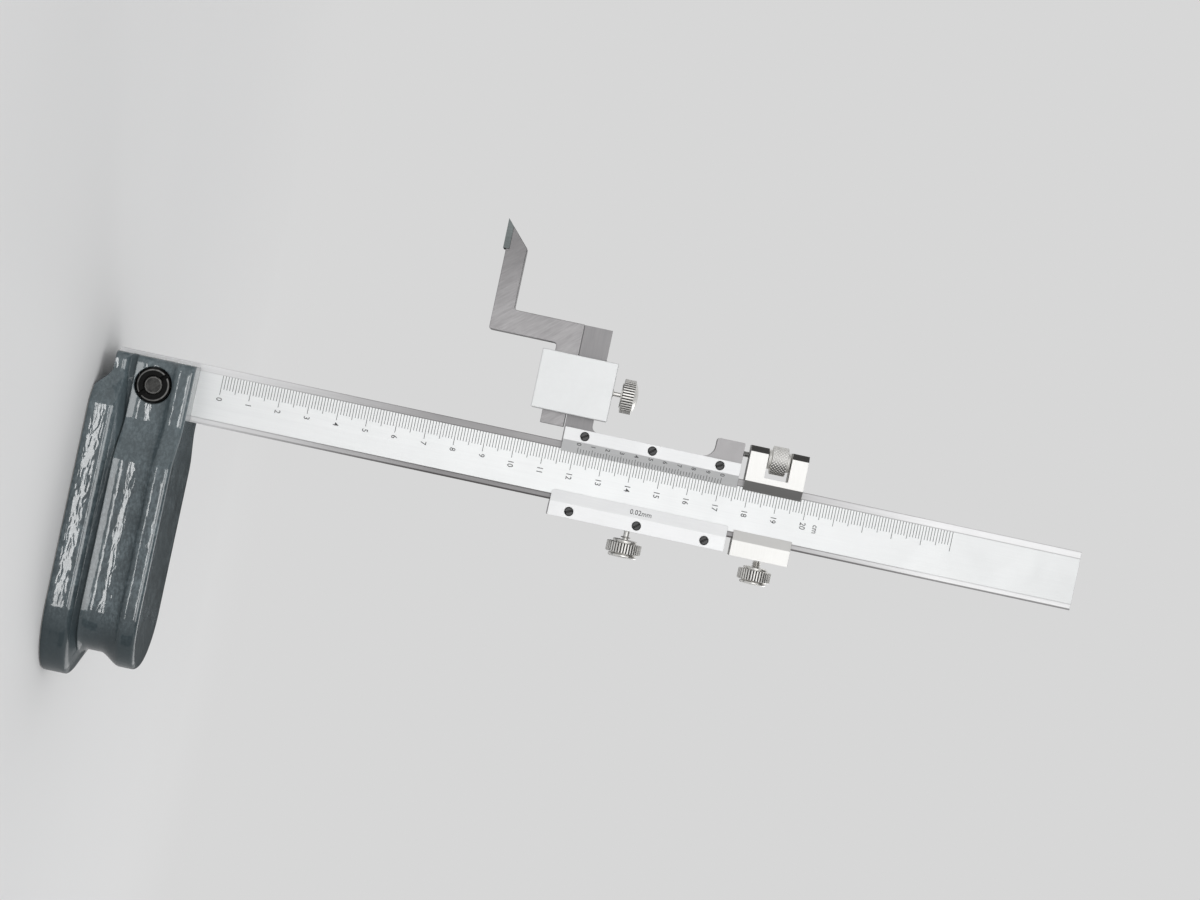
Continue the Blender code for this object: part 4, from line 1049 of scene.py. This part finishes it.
sideHead = dict(
    inMm(tip=-3.85, neck=1.0, rings=((2.3, 1.75),), collarStart=3.1, collarRadius=4.1,
         knurlStart=4.1, knurlEnd=7.7, knurlRadius=5.95,
         face=((0.0, 4.0), (0.32, 3.9), (0.36, 4.55), (0.5, 4.78), (1.05, 4.82), (1.25, 4.7),
               (1.38, 4.4), (1.4, 3.6), (1.3, 3.1), (1.3, 1.0))),
    teeth=36,
)
carriageHead = dict(
    inMm(tip=-4.55, neck=1.0, rings=((0.75, 1.5), (1.35, 1.5), (1.95, 1.5)), collarStart=2.3,
         collarRadius=4.1, knurlStart=3.2, knurlEnd=6.9, knurlRadius=5.6,
         face=((0.0, 4.0), (0.26, 3.85), (0.3, 4.3), (0.42, 4.45), (0.9, 4.45), (1.1, 4.3),
               (1.2, 4.0), (1.2, 3.4), (1.1, 2.9), (1.1, 1.0))),
    teeth=35,
)
boxHead = dict(
    inMm(tip=-4.25, neck=0.78, collarStart=2.8, collarRadius=4.3, knurlStart=3.2, knurlEnd=7.3,
         knurlRadius=5.8,
         face=((0.05, 4.9), (0.3, 4.5), (0.62, 3.9), (0.95, 3.0), (1.2, 1.9), (1.32, 0.7))),
    rings=(), teeth=36,
)


def seatOf(node, axis, tip):
    # the point where the screw's shank leaves its seat face, from the solid's own box
    low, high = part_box(node)
    centre = (low + high) / 2
    if axis[0]:
        return Vector((low.x - tip, centre.y, centre.z))
    return Vector((centre.x, centre.y, low.z - tip))


for node, head, body, axis in (
    ("slider_clamp_screw", sideHead, "slider_clamp", (1, 0, 0)),
    ("carriage_clamp_screw", carriageHead, "carriage_clamp", (1, 0, 0)),
    ("box_clamp_screw", boxHead, "box_clamp", (0, 0, 1)),
):
    turnedHead(node + "_fine", head, node, body, axis)

# hubEnd and knurlEnd: (distance in from the end, change of radius)
fineNutLook = dict(
    inMm(cut=0.18, radius=4.85, hub=3.3, knurl=5.4, height=7.5, bore=1.1, chamfer=0.22,
         hubEnd=((0.0, -0.35), (0.12, -0.1), (0.35, 0.0)), hubTop=0.1,
         knurlEnd=((0.0, -0.5), (0.08, -0.3))),
    columns=26, perColumn=8, steps=48, sharpness=3.5, sharpAbove=38, cutDarkLeast=0.15, cutDarkMost=0.8,
    shadedSideFrom=262.0, shadedSideTo=300.0,
)


def buildFineNut():
    # crossed knurling, its cuts darker, and darker still towards one side: painted shade
    look = fineNutLook
    low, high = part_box("fine_adjust_nut")
    half, knurl = look["height"] / 2, look["knurl"] / 2
    outer, hub, steps = look["radius"], look["hub"], look["steps"]
    under = [(-half, look["bore"], 0)]
    under += [(-half + along, hub + rise, 0) for along, rise in look["hubEnd"]]
    under.append((-knurl - look["hubTop"], hub, 0))
    under += [(-knurl + along, outer + rise, 0) for along, rise in look["knurlEnd"]]
    start = -knurl + look["chamfer"]
    stations = under + [(start - 2 * start * i / steps, outer, 1) for i in range(steps + 1)]
    stations += [(-height, radius, 0) for height, radius, cut in reversed(under)]
    columns = look["columns"]
    pitch = 2 * pi * outer / columns
    angles = [2 * pi * i / (columns * look["perColumn"])
              for i in range(columns * look["perColumn"])]
    reach = look["shadedSideTo"] - look["shadedSideFrom"]
    least, most = look["cutDarkLeast"], look["cutDarkMost"]
    cutDark = [between(least, most, ease((degrees(angle) - look["shadedSideFrom"]) / reach))
            for angle in angles]
    work = bmesh.new()
    grooves = []
    rows = []
    for height, radius, cut in stations:
        rise = 2 * pi * height / pitch
        depths = []
        for angle in angles:
            first = 0.5 - 0.5 * cos(columns * angle + rise)
            second = 0.5 - 0.5 * cos(columns * angle - rise)
            depths.append(cut * max(first, second) ** look["sharpness"])
        rows.append(ringOf(work, [radius - look["cut"] * depth for depth in depths], height))
        grooves += [depth * share for depth, share in zip(depths, cutDark)]
    rows.append(rows[0])  # the bore joins the two ends
    skin(work, rows)
    mesh = meshFrom(work, "fine_nut_knurled")
    addGroove(mesh, grooves)
    shadeRound(mesh, look["sharpAbove"])
    mesh.transform(Matrix.Translation((low + high) / 2))
    nut = addPiece("fine_nut_knurled", mesh, satinNickel, "fine_nut")
    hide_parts("fine_adjust_nut")


threadLook = dict(
    inMm(pitch=0.5, depth=0.2, endDrop=0.15),
    sides=24, perPitch=8, runOut=4, sharpAbove=50,
)


def buildRodThread():
    # one continuous thread, as rings whose radius follows a helix
    look = threadLook
    low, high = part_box("fine_adjust_rod")
    centre = (low + high) / 2
    radius = (high.x - low.x) / 2
    length = high.z - low.z
    count = round(length / look["pitch"] * look["perPitch"])
    work = bmesh.new()
    rows = []
    for k in range(count + 1):
        height = low.z + length * k / count
        taper = min(1.0, k / look["runOut"], (count - k) / look["runOut"])
        radii = []
        for i in range(look["sides"]):
            turn = height / look["pitch"] - i / look["sides"]
            crest = abs((turn % 1.0) - 0.5) * 2
            cut = look["depth"] * (1 - crest) * taper
            radii.append(radius - look["endDrop"] * (1 - taper) - cut)
        rows.append(ringOf(work, radii, height, centre))
    skin(work, rows)
    closeEnds(work, rows)
    mesh = meshFrom(work, "fine_rod_thread")
    shadeRound(mesh, look["sharpAbove"])
    rod = addPiece("fine_rod_thread", mesh, rodSteel, "slider")
    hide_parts("fine_adjust_rod")


buildFineNut()
buildRodThread()
print("knurling and thread cut")


# floor, light and camera

stageLook = dict(
    floorHalf=4.0, floorColour=(0.72, 0.722, 0.725), floorShade=0.98, floorDull=0.85,
    floorGrain={"Scale": 8.0, "Detail": 3.0}, backdrop=0.68, fill=0.74, fadeStart=0.14,
    fadeEnd=0.50,
)


def panel(name, corners, dark, light, grain, dull):
    # a flat sheet with a slightly uneven tone
    mesh = bpy.data.meshes.new(name)
    mesh.from_pydata(corners, [], [(0, 1, 2, 3)])
    sheet = placeObject(name, mesh)
    made, shader, place = newMaterial(name + "Surface")
    uneven = noiseOf(place, grain)
    wire(mixColour(uneven, dark, light), shader.inputs["Base Color"])
    shader.inputs["Roughness"].default_value = dull
    mesh.materials.append(made)
    return sheet, shader, place


def buildFloor():
    look = stageLook
    half, base = look["floorHalf"], look["floorColour"]
    corners = [(-half, -half, 0), (half, -half, 0), (half, half, 0), (-half, half, 0)]
    darker = tuple(c * look["floorShade"] for c in base)
    grain, dull = look["floorGrain"], look["floorDull"]
    floor, shader, place = panel("floor", corners, darker, base, grain, dull)
    tree = shader.id_data
    # away from the gauge the floor fades into the plain backdrop, so only its shadow is left
    reach = addNode(tree, "ShaderNodeVectorMath", operation="LENGTH")
    wire(place, reach.inputs[0])
    fade = spreadOf(reach.outputs["Value"], look["fadeStart"], look["fadeEnd"], kind="SMOOTHSTEP")
    plain = addNode(tree, "ShaderNodeEmission", {"Color": (*(look["backdrop"],) * 3, 1.0)})
    blend = addNode(tree, "ShaderNodeMixShader")
    wire(product(fade, backgroundRay(tree)), blend.inputs["Fac"])
    wire(shader.outputs["BSDF"], blend.inputs[1])
    wire(plain.outputs["Emission"], blend.inputs[2])
    wire(blend.outputs["Shader"], tree.nodes["Material Output"].inputs["Surface"])


def backgroundRay(tree):
    # 1 where the camera looks, or metal and gloss mirror, and 0 for the light on things
    path = addNode(tree, "ShaderNodeLightPath")
    seen = mathNode("MAXIMUM", path.outputs["Is Camera Ray"], path.outputs["Is Glossy Ray"])
    return mathNode("MAXIMUM", seen, path.outputs["Is Transmission Ray"])


def buildWorld():
    world = bpy.data.worlds.new("softRoom")
    scene.world = world
    world.use_nodes = True
    tree = world.node_tree
    back = tree.nodes["Background"]
    shade = mixColour(backgroundRay(tree), (stageLook["fill"],) * 3, (stageLook["backdrop"],) * 3)
    wire(shade, back.inputs["Color"])


lampLooks = {
    # place, what it points at, size, power in watts, and what it lights
    "frontSoftbox": ((-0.36, -1.15, 0.06), (0, 0, 0.12), (1.5, 1.5), 6.4, "steel"),
    "softKey": ((-0.10, -0.45, 1.0), (0, 0, 0.12), (0.6, 0.5), 0.6, "steel"),
    "backLight": ((0.35, 0.70, 0.60), (0, 0, 0.15), (0.6, 0.6), 2.0, "all"),
    "highStrip": ((0.02, -0.72, 0.34), (0.02, 0, 0.01), (0.29, 0.10), 0.76, "casting"),
    "lowStrip": ((0.02, -0.72, 0.034), (0.02, 0, 0.01), (0.29, 0.048), 0.43, "casting"),
    "overhead": ((0.02, -0.436, 0.597), (0.02, 0, 0.01), (0.28, 0.385), 1.5, "casting"),
}


def addLamp(name, place, aimAt, size, power, lights):
    light = bpy.data.lights.new(name, "AREA")
    light.shape = "RECTANGLE"
    light.size, light.size_y = size
    light.energy = power
    lamp = placeObject(name, light)
    lamp.location = place
    lamp.rotation_mode = "QUATERNION"
    lamp.rotation_quaternion = (Vector(aimAt) - Vector(place)).to_track_quat("-Z", "Y")
    lamp.visible_camera = False
    if lights != "all":
        lamp.light_linking.receiver_collection = lampReach[lights]


cardLooks = {
    # azimuth from the scale face towards the heel, lean, distance, height, width, tallness, tone
    "rightCard": (60, 0, 0.55, 0.20, 0.24, 0.80, 0.06),
    "leftCard": (-91, 0, 0.55, 0.20, 0.40, 0.80, 0.10),
    "backCard": (180, 0, 0.35, 0.10, 0.34, 0.18, 0.03),
    "topCard": (0, 90, 0.10, 0.85, 0.80, 0.80, 0.06),
}
feltLook = dict(grain={"Scale": 200.0, "Detail": 4.0}, darker=0.8, lighter=1.2, dull=0.95)


def buildCards():
    # dark felt cards beside the gauge, seen only in the metal
    look = feltLook
    for name, (azimuth, lean, distance, height, width, tall, tone) in cardLooks.items():
        w, t = width / 2, tall / 2
        corners = [(-w, 0, -t), (w, 0, -t), (w, 0, t), (-w, 0, t)]
        dark, light = (tone * look["darker"],) * 3, (tone * look["lighter"],) * 3
        card = panel(name, corners, dark, light, look["grain"], look["dull"])[0]
        turn = radians(azimuth)
        card.location = (distance * sin(turn), -distance * cos(turn), height)
        card.rotation_euler = (radians(lean), 0, turn)
        card.visible_camera = False
        card.visible_diffuse = False
        card.visible_shadow = False


cameraLook = dict(
    inMm(distance=850, along=0.4, height=167.2),
    lens=76.1, sensor=36.0, nearest=0.05, farthest=20.0, lean=radians(12.1),
)


def buildCamera():
    # the gauge lies across the picture, beam to the right, leaning by a few degrees
    data = bpy.data.cameras.new("frontCamera")
    data.lens = cameraLook["lens"]
    data.sensor_width = cameraLook["sensor"]
    camera = placeObject("frontCamera", data)
    lean = cameraLook["lean"]
    right = Vector((-sin(lean), 0.0, cos(lean)))
    up = Vector((-cos(lean), 0.0, -sin(lean)))
    back = right.cross(up)
    turn = Matrix((right, up, back)).transposed().to_4x4()
    target = Vector((beamLow.x + cameraLook["along"], beamLow.y, cameraLook["height"]))
    camera.matrix_world = Matrix.Translation(target + back * cameraLook["distance"]) @ turn
    data.clip_start = cameraLook["nearest"]
    data.clip_end = cameraLook["farthest"]
    scene.camera = camera


buildFloor()
buildWorld()
# some lamps light the casting alone, and some all but the casting with its nut and stud
lampReach = {"casting": bpy.data.collections.new("castingLit"),
             "steel": bpy.data.collections.new("castingUnlit")}
lampReach["casting"].objects.link(castingPiece)
for piece in (castingPiece, nodes["beam_nut"], nodes["beam_stud"]):
    lampReach["steel"].objects.link(piece)
for entry in lampReach["steel"].collection_objects:
    entry.light_linking.link_state = "EXCLUDE"
for name, look in lampLooks.items():
    addLamp(name, *look)
buildCards()
buildCamera()
print("stage ready")
